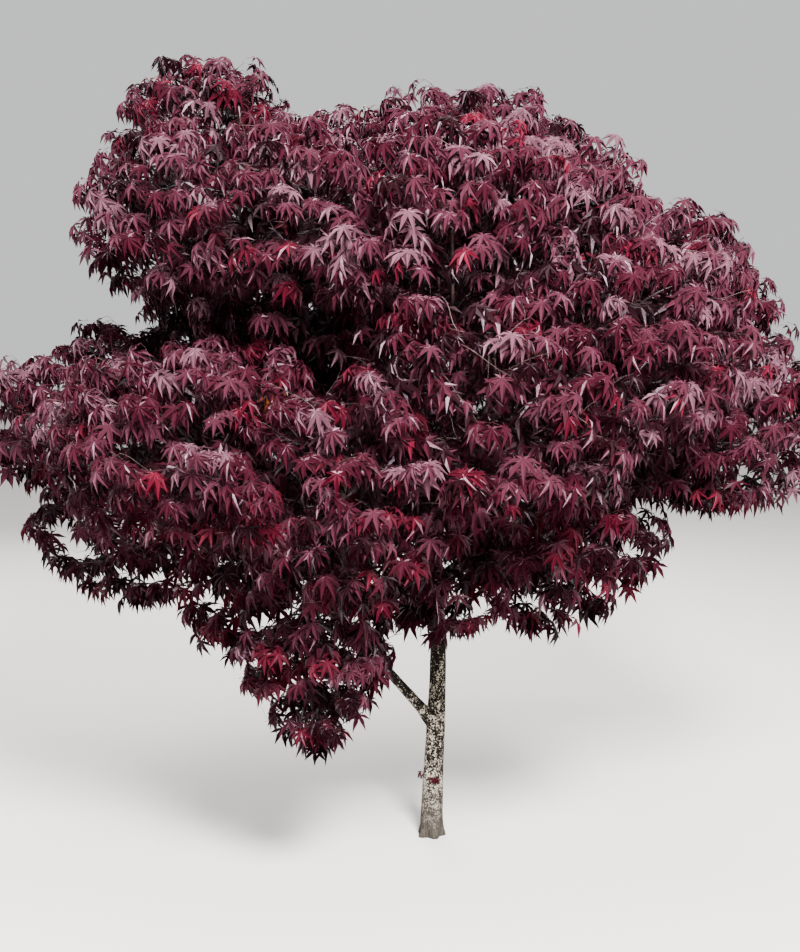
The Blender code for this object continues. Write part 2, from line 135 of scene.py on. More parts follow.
MASSES = (
    Mass("lower_left_front", (-0.63, -0.58, 1.26), (0.48, 0.47, 0.36), "trunk", 0.37, 0.0160),
    Mass("low_right", (0.32, -0.44, 1.03), (0.37, 0.41, 0.35), "trunk", 0.66, 0.0105),
    Mass("low_middle", (0.00, -0.44, 0.98), (0.38, 0.39, 0.31), "trunk", 0.73, 0.0100),
    Mass("lower_left", (-0.95, 0.00, 1.31), (0.48, 0.47, 0.34), "trunk", 0.79, 0.0120),
    Mass("back_left", (-0.60, 0.62, 1.43), (0.50, 0.47, 0.44), "trunk", 0.71, 0.0120),
    Mass("right_lower", (0.80, -0.26, 1.30), (0.46, 0.45, 0.29), "trunk", 0.82, 0.0120),
    Mass("back_right", (0.62, 0.56, 1.38), (0.49, 0.47, 0.44), "trunk", 0.77, 0.0120),
    Mass("middle_front", (0.12, -0.84, 1.40), (0.45, 0.43, 0.37), "trunk", 0.87, 0.0120),
    Mass("back_middle", (-0.02, 0.84, 1.45), (0.49, 0.43, 0.45), "trunk", 0.90, 0.0110),
    Mass("top_left", (-0.67, 0.02, 2.08), (0.34, 0.43, 0.36), "trunk", 0.95, 0.0140),
    Mass("top_right", (0.09, 0.02, 2.04), (0.46, 0.47, 0.32), "trunk", 0.95, 0.0140),
    Mass("bottom_left", (-0.40, -0.42, 0.87), (0.36, 0.40, 0.39), "lower_left_front", 0.42, 0.0085),
    Mass("bottom_middle", (-0.33, -0.52, 0.79), (0.27, 0.36, 0.44), "lower_left_front", 0.27, 0.0080),
    Mass("left_hanging", (-0.86, -0.20, 1.02), (0.38, 0.38, 0.30), "lower_left_front", 0.72, 0.0085),
    Mass("centre_left", (-0.24, -0.76, 1.16), (0.41, 0.41, 0.38), "lower_left_front", 0.62, 0.0080),
    Mass("back_low_left", (-0.45, 0.52, 0.97), (0.44, 0.40, 0.34), "back_left", 0.30, 0.0080),
    Mass("back_low_right", (0.32, 0.52, 0.95), (0.44, 0.40, 0.34), "back_right", 0.27, 0.0080),
    Mass("right_outer", (0.77, 0.04, 1.48), (0.36, 0.45, 0.40), "right_lower", 0.55, 0.0085),
    Mass("right_front", (0.45, -0.66, 1.57), (0.40, 0.44, 0.38), "middle_front", 0.45, 0.0085),
    Mass("middle_upper", (0.04, -0.58, 1.81), (0.41, 0.43, 0.39), "middle_front", 0.62, 0.0075),
    Mass("left_middle", (-0.61, -0.28, 1.88), (0.44, 0.47, 0.34), "top_left", 0.52, 0.0095),
    Mass("left_shoulder", (-0.36, -0.44, 1.88), (0.41, 0.43, 0.31), "top_left", 0.70, 0.0075),
    Mass("left_inner", (-0.38, -0.24, 1.66), (0.37, 0.38, 0.36), "top_left", 0.34, 0.0075),
    Mass("back_left_high", (-0.45, 0.50, 1.89), (0.49, 0.45, 0.43), "top_left", 0.60, 0.0080),
    Mass("top_middle", (-0.23, 0.20, 1.95), (0.43, 0.45, 0.35), "top_right", 0.55, 0.0080),
    Mass("right_upper", (0.59, -0.16, 1.70), (0.38, 0.45, 0.32), "top_right", 0.45, 0.0095),
    Mass("right_middle", (0.30, -0.44, 1.83), (0.35, 0.40, 0.35), "top_right", 0.66, 0.0070),
    Mass("back_right_high", (0.28, 0.48, 1.88), (0.48, 0.45, 0.44), "top_right", 0.58, 0.0080),
    Mass("right_tip", (0.76, 0.32, 1.76), (0.32, 0.29, 0.26), "right_upper", 0.70, 0.0060),
)


# ---------------- paths


def bezier(a: Vector, b: Vector, c: Vector, d: Vector, steps: int) -> list[Vector]:
    """Cuts a cubic curve into steps.

    Args:
        a: where it starts.
        b: what it sets out towards.
        c: what it comes in from.
        d: where it ends.
        steps: how many steps it is cut into.

    Returns:
        One point more than there are steps.
    """
    points = []
    for i in range(steps + 1):
        t = i / steps
        s = 1.0 - t
        points.append(a * s**3 + b * 3 * s * s * t + c * 3 * s * t * t + d * t**3)
    return points


def step_lengths(path: Sequence[Vector]) -> list[float]:
    """The length of each straight step of a path."""
    return [(q - p).length for p, q in zip(path, path[1:])]


def place_along(path: Sequence[Vector], share: float) -> tuple[Vector, Vector]:
    """Finds a place on a path.

    Args:
        path: the points of the path.
        share: how far along its length the place is, from 0 to 1.

    Returns:
        The point, and the heading there.
    """
    lengths = step_lengths(path)
    left = share * sum(lengths)
    for p, q, length in zip(path, path[1:], lengths):
        if left <= length:
            return p.lerp(q, left / max(length, TINY)), (q - p).normalized()
        left -= length
    return path[-1].copy(), (path[-1] - path[-2]).normalized()


def steps_within(path: Sequence[Vector], length: float) -> int:
    """How many steps of a path it takes to get past this length, or all of them."""
    ends = [run > length for run in accumulate(step_lengths(path))]
    return ends.index(True) + 1 if True in ends else len(ends)


def square_to(heading: Vector, way: Vector) -> Vector:
    """The part of way that is square to heading, as a unit vector."""
    out = way - heading * way.dot(heading)
    return out.normalized() if out.length > TINY else heading.orthogonal().normalized()


def even_headings(count: int, phase: float) -> Iterable[Vector]:
    """Unit vectors spread evenly all round, from the top down.

    Args:
        count: how many there are.
        phase: how far the whole set is turned about the vertical.

    Yields:
        The unit vectors.
    """
    for i in range(count):
        z = 1.0 - (2.0 * i + 1.0) / count
        flat = math.sqrt(1.0 - z * z)
        turn = i * GOLDEN_ANGLE + phase
        yield Vector((flat * math.cos(turn), flat * math.sin(turn), z))


# ---------------- nodes, objects and colours


def linear(code: str) -> tuple[float, float, float, float]:
    """Turns an sRGB hex colour to the linear values that a shader takes.

    Args:
        code: the colour, such as #6b5d4c.

    Returns:
        Red, green, blue and full opacity.
    """
    shares = [int(code[i : i + 2], 16) / 255.0 for i in (1, 3, 5)]
    red, green, blue = (s / 12.92 if s <= 0.04045 else ((s + 0.055) / 1.055) ** 2.4 for s in shares)
    return (red, green, blue, 1.0)


def feed(node: Node, feeds: Feeds) -> None:
    """Feeds the inputs of a node.

    Args:
        node: the node.
        feeds: for each input a value, an output, or a node whose first output it takes.
    """
    for key, source in feeds.items():
        if isinstance(source, Node):
            source = source.outputs[0]
        if isinstance(source, NodeSocket):
            node.id_data.links.new(source, node.inputs[key])
        else:
            node.inputs[key].default_value = source


def add_node(tree: NodeTree, kind: str, feeds: Feeds | None = None, **settings: object) -> Node:
    """Adds a node to a tree of either sort, sets it up and feeds it.

    Args:
        tree: the material's tree or the geometry tree.
        kind: the type name of the node.
        feeds: what its inputs get, as feed takes it.
        settings: the node's own settings.

    Returns:
        The new node.
    """
    node = tree.nodes.new(kind)
    for name, value in settings.items():
        setattr(node, name, value)
    feed(node, feeds or {})
    return node


def start_material(name: str) -> tuple[Material, Node, Adder]:
    """Makes a new node material.

    Args:
        name: what it is called.

    Returns:
        The material, its shader, and what adds nodes to it.
    """
    material = bpy.data.materials.new(name)
    material.use_nodes = True
    tree = material.node_tree
    return material, tree.nodes["Principled BSDF"], partial(add_node, tree)


def set_stops(ramp: ColorRamp, stops: Stops) -> None:
    """Gives a colour ramp its stops.

    Args:
        ramp: the ramp, as it comes, with two stops.
        stops: two stops or more, from low to high.
    """
    for position, code in stops[1:-1]:
        ramp.elements.new(position).color = linear(code)
    for end in (0, -1):
        ramp.elements[end].position = stops[end][0]
        ramp.elements[end].color = linear(stops[end][1])


def start_tree(name: str, inputs: dict[str, object]) -> tuple[NodeTree, Node, Adder]:
    """Makes a new geometry tree with one geometry in and one out.

    Args:
        name: what the tree is called.
        inputs: the first value of each further input, by name, or its socket's type where it has none.

    Returns:
        The tree, its input node, and what adds nodes to it.
    """
    tree = bpy.data.node_groups.new(name, "GeometryNodeTree")
    for way in ("INPUT", "OUTPUT"):
        tree.interface.new_socket("Geometry", in_out=way, socket_type="NodeSocketGeometry")
    for label, value in inputs.items():
        kind = SOCKETS.get(type(value))
        socket = tree.interface.new_socket(label, in_out="INPUT", socket_type=kind or value)
        if kind:
            socket.default_value = value
    return tree, tree.nodes.new("NodeGroupInput"), partial(add_node, tree)


def end_tree(add: Adder, shape: Node, skins: Iterable[Feeds]) -> None:
    """Ends a geometry tree: the instances are made real and get their materials.

    Args:
        add: what adds nodes to the tree.
        shape: the node that puts out the geometry.
        skins: for each material, what the node that sets it gets.
    """
    last = add("GeometryNodeRealizeInstances", {0: shape})
    for skin in skins:
        last = add("GeometryNodeSetMaterial", {"Geometry": last} | skin)
    add("NodeGroupOutput", {0: last})


def run_tree(carrier: Object, tree: NodeTree, values: dict[str, object]) -> Mesh:
    """What a geometry tree makes of an object, as a plain mesh. The object is removed.

    Args:
        carrier: the object that carries the points, lines or mesh to start from.
        tree: the geometry tree.
        values: the value of each named input.

    Returns:
        A mesh of its own.
    """
    modifier = carrier.modifiers.new(tree.name, "NODES")
    modifier.node_group = tree
    sockets = {s.name: s.identifier for s in tree.interface.items_tree if s.in_out == "INPUT"}
    for name, value in values.items():
        modifier[sockets[name]] = value
    graph = bpy.context.evaluated_depsgraph_get()
    mesh = bpy.data.meshes.new_from_object(carrier.evaluated_get(graph), depsgraph=graph)
    source = carrier.data
    bpy.data.objects.remove(carrier)
    bpy.data.meshes.remove(source)
    return mesh


def add_object(name: str, data: Mesh | Camera | Light) -> Object:
    """Puts something new in the scene, at the origin.

    Args:
        name: what the object is called.
        data: its mesh, or the camera or light that it is.

    Returns:
        The object.
    """
    thing = bpy.data.objects.new(name, data)
    bpy.context.scene.collection.objects.link(thing)
    return thing


def hand_over(name: str, mesh: Mesh, stands_for: Sequence[str]) -> None:
    """Makes a finished mesh a piece of the tree: it rides on the body and stands for some solids.

    Args:
        name: what the piece is called.
        mesh: the finished mesh, in place.
        stands_for: the solids that it replaces.
    """
    piece = add_object(name, mesh)
    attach(piece, BODY)
    if stands_for:
        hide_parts(*stands_for)
    log.info("%s: %d triangles", name, sum(len(face.vertices) - 2 for face in mesh.polygons))


# ---------------- finishes


@dataclass(frozen=True)
class MapleBark:
    """Smooth young maple bark. A pale grey crust over darker brown, streaked near the ground and speckled
    higher up, gives it its salt-and-pepper look."""

    streak_stops: Stops = ((0.30, "#211d19"), (0.62, "#39342f"))
    fleck_stops: Stops = ((0.49, "#0e0a08"), (0.54, "#5a5148"), (0.60, "#a69d90"))
    streak_width: float = 0.0045  # of a fine upright streak
    streak_length: float = 0.060
    fleck: float = 0.0050  # across one fleck of crust, as coarse as it needs to be to show
    patch: float = 0.030  # across a patch where the crust is thicker
    patch_share: float = 0.55  # how much the patches count beside the flecks
    flecks_from: float = -0.02  # the height where the flecks begin, a little below the ground
    flecks_full: float = 0.27  # the height where they take over
    crust_thin_and_shade: float = 0.15  # how much less crust there is high up: partly the young wood's own bark, partly painted shade under the crown
    darker_from: float = 0.30  # the height where the crust begins to thin, and the painted shade under the crown begins
    darker_full: float = 0.70
    grain: float = 0.0016
    relief_depth: float = 0.0009  # of the crust and the grain together
    relief_strength: float = 0.5
    roughness: float = 0.9
    gloss: float = 0.06  # dry bark hardly shines

    def material(self) -> Material:
        """Makes the node material.

        Returns:
            The material.
        """
        material, shader, add = start_material("maple_bark")
        where = add("ShaderNodeTexCoord").outputs["Object"]
        height = add("ShaderNodeSeparateXYZ", {0: where}).outputs["Z"]
        # Fine upright streaks near the ground, where the bark has stretched.
        across, upright = 1.0 / self.streak_width, 1.0 / self.streak_length
        drawn_out = add("ShaderNodeMapping", {"Vector": where, "Scale": (across, across, upright)})
        streaks = add("ShaderNodeTexNoise", {"Vector": drawn_out, "Scale": 1.0, "Detail": 3.0})
        low = add("ShaderNodeValToRGB", {0: streaks})
        set_stops(low.color_ramp, self.streak_stops)
        # Pale flecks of crust, more of them in patches, and fewer higher up: partly the young wood's own
        # bark, partly painted shade under the crown.
        ragged = {"Scale": 1.0 / self.fleck, "Detail": 2.0, "Roughness": 0.6, "Distortion": 0.6}
        flecks = add("ShaderNodeTexNoise", {"Vector": where} | ragged)
        patches = add("ShaderNodeTexNoise", {"Vector": where, "Scale": 1.0 / self.patch, "Detail": 2.0})
        centred = {0: patches, 1: self.patch_share, 2: -0.5 * self.patch_share}
        lifted = add("ShaderNodeMath", centred, operation="MULTIPLY_ADD")
        flecked = add("ShaderNodeMath", {0: flecks, 1: lifted}, operation="ADD")
        young = {"From Min": self.darker_from, "From Max": self.darker_full, "To Max": self.crust_thin_and_shade}
        thinning_and_shade = add("ShaderNodeMapRange", {"Value": height} | young)
        crust = add("ShaderNodeMath", {0: flecked, 1: thinning_and_shade}, operation="SUBTRACT")
        high = add("ShaderNodeValToRGB", {0: crust})
        set_stops(high.color_ramp, self.fleck_stops)
        # The one gives way to the other up the trunk.
        rise = {"Value": height, "From Min": self.flecks_from, "From Max": self.flecks_full}
        climb = add("ShaderNodeMapRange", rise, interpolation_type="SMOOTHSTEP")
        both = add("ShaderNodeMix", {0: climb, 6: low, 7: high}, data_type="RGBA")
        # A fine grain, and crust that stands up a little, break the light.
        grain = add("ShaderNodeTexNoise", {"Vector": where, "Scale": 1.0 / self.grain, "Detail": 2.0})
        relief = add("ShaderNodeMath", {0: grain, 1: crust}, operation="ADD")
        bump = {"Strength": self.relief_strength, "Distance": self.relief_depth, "Height": relief}
        feed(shader, {"Base Color": both.outputs[2], "Normal": add("ShaderNodeBump", bump)})
        feed(shader, {"Roughness": self.roughness, "Specular IOR Level": self.gloss})
        return material


@dataclass(frozen=True)
class YoungBark:
    """The thin, slightly waxy bark of twigs, dark red-brown with paler breaks."""

    stops: Stops = ((0.42, "#180b0c"), (0.72, "#4a322e"))
    mottle: float = 0.012
    roughness: float = 0.55

    def material(self) -> Material:
        """Makes the node material.

        Returns:
            The material.
        """
        material, shader, add = start_material("young_maple_bark")
        where = add("ShaderNodeTexCoord").outputs["Object"]
        # Paler breaks along the dark twigs.
        mottle = add("ShaderNodeTexNoise", {"Vector": where, "Scale": 1.0 / self.mottle, "Detail": 2.0})
        ramp = add("ShaderNodeValToRGB", {0: mottle})
        set_stops(ramp.color_ramp, self.stops)
        feed(shader, {"Base Color": ramp, "Roughness": self.roughness})
        return material


@dataclass(frozen=True)
class LeafBlade:
    """A thin, smooth leaf blade with a satin skin. The skin picks up the sky as a pale mauve bloom, and its
    fine unevenness breaks the bloom up. The colour is one plain value, so that each spray keeps its own."""

    name: str
    colour: str
    satin: float = 0.36  # roughness
    gloss: float = 0.15  # how much of the sky the skin picks up
    bloom: str = "#e6c8d8"  # and in which colour
    ripple: float = 0.009  # between one rise of the blade and the next
    ripple_depth: float = 0.0008
    ripple_strength: float = 0.6

    def material(self) -> Material:
        """Makes the node material.

        Returns:
            The material.
        """
        material, shader, add = start_material("leaf_" + self.name)
        where = add("ShaderNodeTexCoord").outputs["Object"]
        # Soft rises between the veins, which scatter the bloom.
        ripple = add("ShaderNodeTexNoise", {"Vector": where, "Scale": 1.0 / self.ripple, "Detail": 1.0})
        bump = {"Strength": self.ripple_strength, "Distance": self.ripple_depth, "Height": ripple}
        feed(shader, {"Base Color": linear(self.colour), "Normal": add("ShaderNodeBump", bump)})
        feed(shader, {"Roughness": self.satin, "Specular IOR Level": self.gloss})
        feed(shader, {"Specular Tint": linear(self.bloom)})
        return material


class Tint(Enum):
    """The colours of the leaves. Some paint light: mauve paints the sky's sheen, maroon paints shade, and
    scarlet in part paints leaves lit from behind.
    """

    # mauve: painted sheen of the sky on leaves that face up
    MAUVE = LeafBlade("mauve", "#462b34")
    PLUM = LeafBlade("plum", "#32141d")
    WINE = LeafBlade("wine", "#270811")
    # maroon: near-black painted shade for leaves inside the crown
    MAROON = LeafBlade("maroon", "#0f0204")
    CRIMSON = LeafBlade("crimson", "#320611")
    # scarlet: young leaves, and in part the painted glow of leaves lit from behind
    SCARLET = LeafBlade("scarlet", "#420a18")
    AMBER = LeafBlade("amber", "#3f1a06")


TINTS = tuple(Tint)
BESIDE = {  # the colour that now and then mixes in with each
    Tint.MAUVE: Tint.PLUM,
    Tint.PLUM: Tint.WINE,
    Tint.WINE: Tint.PLUM,
    Tint.MAROON: Tint.WINE,
    Tint.CRIMSON: Tint.WINE,
    Tint.SCARLET: Tint.CRIMSON,
    Tint.AMBER: Tint.CRIMSON,
}


class Odds(Enum):
    """How often each colour comes, in the order of the colours, by where a spray hangs: more maroon as
    painted shade inside the crown and low down, more mauve as painted sheen on top.
    """

    SHADE = (0, 2, 2, 14, 0.6, 0.2, 0.1)
    TOP_LEFT = (5, 8, 4.5, 2.5, 0.8, 0.1, 0)
    TOP_RIGHT = (5, 8, 4.5, 2.5, 0.8, 0.3, 0)
    MIDDLE = (4, 6, 6, 3.5, 1.2, 0.08, 0.04)
    LOW = (0.8, 3, 7, 7, 3.5, 0.5, 0)


# ---------------- the space of a mass


@dataclass
class Space:
    """The space of one mass: an egg-shaped reach, cut off by a flat wall towards each neighbour."""

    mass: Mass
    low_below: float = 1.28  # a mass whose middle is lower than this hangs free
    hang: float = 0.6  # how much narrower its leaves keep at its foot, so that it ends in a point
    box_spill: float = 0.012  # how far a leaf may stand out of the solids' box

    def __post_init__(self) -> None:
        """Works out the walls, each where the two reaches would meet."""
        self.middle = Vector(self.mass.middle)
        facings, distances = [], []
        for other in MASSES:
            if other is not self.mass:
                between = Vector(other.middle) - self.middle
                facing = between.normalized()
                own, theirs = self.mass.half_width(facing), other.half_width(facing)
                facings.append(tuple(facing))
                distances.append(between.length * own / (own + theirs))
        self.facings, self.distances = np.array(facings), np.array(distances)

    def holds(self, point: Vector, margin: float, edge: float = 1.0) -> bool:
        """Tells whether a point is in this space.

        Args:
            point: the point.
            margin: how far it has to be from every wall. Below 0, it may lie that far beyond.
            edge: the share of the reach that it has to keep within.

        Returns:
            True if it is.
        """
        away = np.array(point) - self.mass.middle
        if math.sqrt(sum((a / r) ** 2 for a, r in zip(away, self.mass.reach))) > edge or point.z < 0.0:
            return False
        return bool((self.facings @ away <= self.distances - margin).all())

    def fills(self, point: Vector, margin: float, edge: float) -> bool:
        """Tells whether leaves grow as far as a point: the space holds it, narrowed at a low foot, and it is
        within the solids' box or hardly out of it.

        Args:
            point: the point.
            margin: as for holds.
            edge: as for holds.

        Returns:
            True if they do.
        """
        sides = zip(point, CAD_LOW, CAD_HIGH)
        if point.z <= 0.0 or any(p <= a - self.box_spill or p >= b + self.box_spill for p, a, b in sides):
            return False
        away = point - self.middle
        across = math.hypot(away.x / self.mass.reach[0], away.y / self.mass.reach[1])
        down = max(0.0, -away.z / self.mass.reach[2])
        narrowed = across * (1.0 + self.hang * down**2 * (self.middle.z < self.low_below))
        return math.hypot(narrowed, away.z / self.mass.reach[2]) < edge and self.holds(point, margin, edge)


# ---------------- trunk, boughs and limbs


@dataclass(frozen=True)
class Limb:
    """A limb: the points that it follows and its radius at each."""

    path: Sequence[Vector]
    radii: Sequence[float]

    def stretch(self, steps: slice) -> Limb:
        """The part of the limb at these points."""
        return Limb(self.path[steps], self.radii[steps])


class Tubes:
    """Turns limbs and twigs into closed tubes of their own thickness."""

    def __init__(self) -> None:
        """Makes the tree that does it."""
        self.tree, given, add = start_tree("tubes", {"Sides": 5, "Skin": "NodeSocketMaterial"})
        curve = add("GeometryNodeMeshToCurve", {0: given})
        ring = add("GeometryNodeCurvePrimitiveCircle", {"Resolution": given.outputs["Sides"], "Radius": 1.0})
        thickness = add("GeometryNodeInputNamedAttribute", {"Name": "thickness"}, data_type="FLOAT")
        swept = {"Curve": curve, "Profile Curve": ring, "Scale": thickness, "Fill Caps": True}
        rounded = add("GeometryNodeSetShadeSmooth", {0: add("GeometryNodeCurveToMesh", swept)})
        end_tree(add, rounded, [{"Material": given.outputs["Skin"]}])

    def mesh(self, name: str, limbs: Sequence[Limb], sides: int, skin: Material) -> Mesh:
        """Makes the tubes.

        Args:
            name: what the object that carries their lines is called.
            limbs: what they follow.
            sides: how many sides each has.
            skin: their material.

        Returns:
            One mesh of them all.
        """
        edges, start = [], 0
        for limb in limbs:
            edges += [(i, i + 1) for i in range(start, start + len(limb.path) - 1)]
            start += len(limb.path)
        lines = bpy.data.meshes.new(name)
        lines.from_pydata([tuple(point) for limb in limbs for point in limb.path], edges, [])
        thickness = lines.attributes.new("thickness", "FLOAT", "POINT")
        thickness.data.foreach_set("value", [radius for limb in limbs for radius in limb.radii])
        return run_tree(add_object(name, lines), self.tree, {"Sides": sides, "Skin": skin})


@dataclass
class Skeleton:
    """Where the trunk, the boughs and the limbs run, by the rule that the solids follow."""

    height: float = 0.96
    # share of the height, lean to the right, lean to the back, radius
    stations: tuple[tuple[float, float, float, float], ...] = (
        (0.000, 0.000, 0.000, 0.0400),
        (0.035, 0.001, 0.000, 0.0365),
        (0.085, 0.003, 0.000, 0.0342),
        (0.180, 0.006, 0.001, 0.0325),
        (0.290, 0.011, 0.002, 0.0298),
        (0.380, 0.015, 0.003, 0.0292),
        (0.460, 0.018, 0.004, 0.0268),
        (0.590, 0.021, 0.006, 0.0250),
        (0.740, 0.018, 0.012, 0.0235),
        (0.880, 0.002, 0.016, 0.0215),
        (0.970, -0.012, 0.018, 0.0185),
        (1.000, -0.016, 0.018, 0.0130),
    )
    steps: int = 30  # of each limb's path
    rise: float = 0.40  # how far a limb keeps to its first heading, as a share of its length
    settle: float = 0.30  # how far it keeps to its last heading
    uprightness: float = 0.9  # how much it follows its parent at first
    tip_taper: float = 0.55  # how thick its tip is beside its foot
    entry_margin: float = 0.03  # how far from the walls it enters its mass
    entry_farthest: float = 0.92  # and how far from the middle, as a share of the reach
    entry_steps: int = 46
    least: float = 0.13  # how far a limb goes at least before its mass begins

    def __post_init__(self) -> None:
        """Lays out the trunk and then every limb."""
        path = [Vector((right, back, share * self.height)) for share, right, back, _ in self.stations]
        self.limbs = {"trunk": Limb(path, [radius for *_, radius in self.stations])}
        self.spaces = {mass.name: Space(mass) for mass in MASSES}
        for mass in MASSES:
            self.limbs[mass.name] = self.limb_of(mass)

    def entry_point(self, mass: Mass, start: Vector) -> Vector:
        """Finds where a limb enters its mass: as far back as the walls allow.

        Args:
            mass: the mass.
            start: where the limb leaves its parent.

        Returns:
            The point.
        """
        space = self.spaces[mass.name]
        back = (start - space.middle).normalized()
        far = mass.half_width(back)
        for step in range(self.entry_steps):
            point = space.middle + back * far * self.entry_farthest * (1.0 - step / self.entry_steps)
            if space.holds(point, self.entry_margin) and (point - start).length > self.least:
                return point
        return space.middle

    def limb_of(self, mass: Mass) -> Limb:
        """Lays out the limb that carries a mass, from the middle of its parent to where it enters the mass.

        Args:
            mass: the mass.

        Returns:
            The limb.
        """
        start, along = place_along(self.limbs[mass.parent].path, mass.fork)
        tip = self.entry_point(mass, start)
        way = tip - start
        first = (along * self.uprightness + square_to(along, way)).normalized()
        last = (Vector(mass.middle) - tip).normalized()
        rise, settle = first * way.length * self.rise, last * way.length * self.settle
        path = bezier(start, start + rise, tip - settle, tip, self.steps)
        taper = 1.0 - self.tip_taper
        return Limb(path, [mass.radius * (1.0 - taper * i / self.steps) for i in range(self.steps + 1)])


@dataclass(frozen=True)
class Relief:
    """One sort of unevenness in the surface of the bark."""

    name: str
    width: float  # from one rise to the next
    trunk_depth: float
    limb_depth: float
    detail: float = 1.0
    squeeze: float = 1.0  # below 1, the pattern is drawn out upright by as much


# Broad knobs make the outline uneven, upright ridges and fine pits break up the light.
RELIEFS = (
    Relief("Knobs", 0.050, 0.0022, 0.0030),
    Relief("Ridges", 0.013, 0.0016, 0.0012, detail=2.0, squeeze=0.14),
    Relief("Pits", 0.0042, 0.0006, 0.0005),
)


def smooth_row(shares: np.ndarray, values: np.ndarray, rows: np.ndarray) -> np.ndarray:
    """Values read off a smooth curve through some stations.

    Args:
        shares: where the stations are.
        values: the value at each.
        rows: where the curve is read.

    Returns:
        The value at each row.
    """
    slopes = np.gradient(values, shares)
    index = np.clip(np.searchsorted(shares, rows, side="right") - 1, 0, len(shares) - 2)
    width = shares[index + 1] - shares[index]
    t = np.clip((rows - shares[index]) / width, 0.0, 1.0)
    first = (1.0 + 2.0 * t) * (1.0 - t) ** 2 * values[index] + t * (1.0 - t) ** 2 * width * slopes[index]
    second = t * t * (3.0 - 2.0 * t) * values[index + 1] + t * t * (t - 1.0) * width * slopes[index + 1]
    return first + second


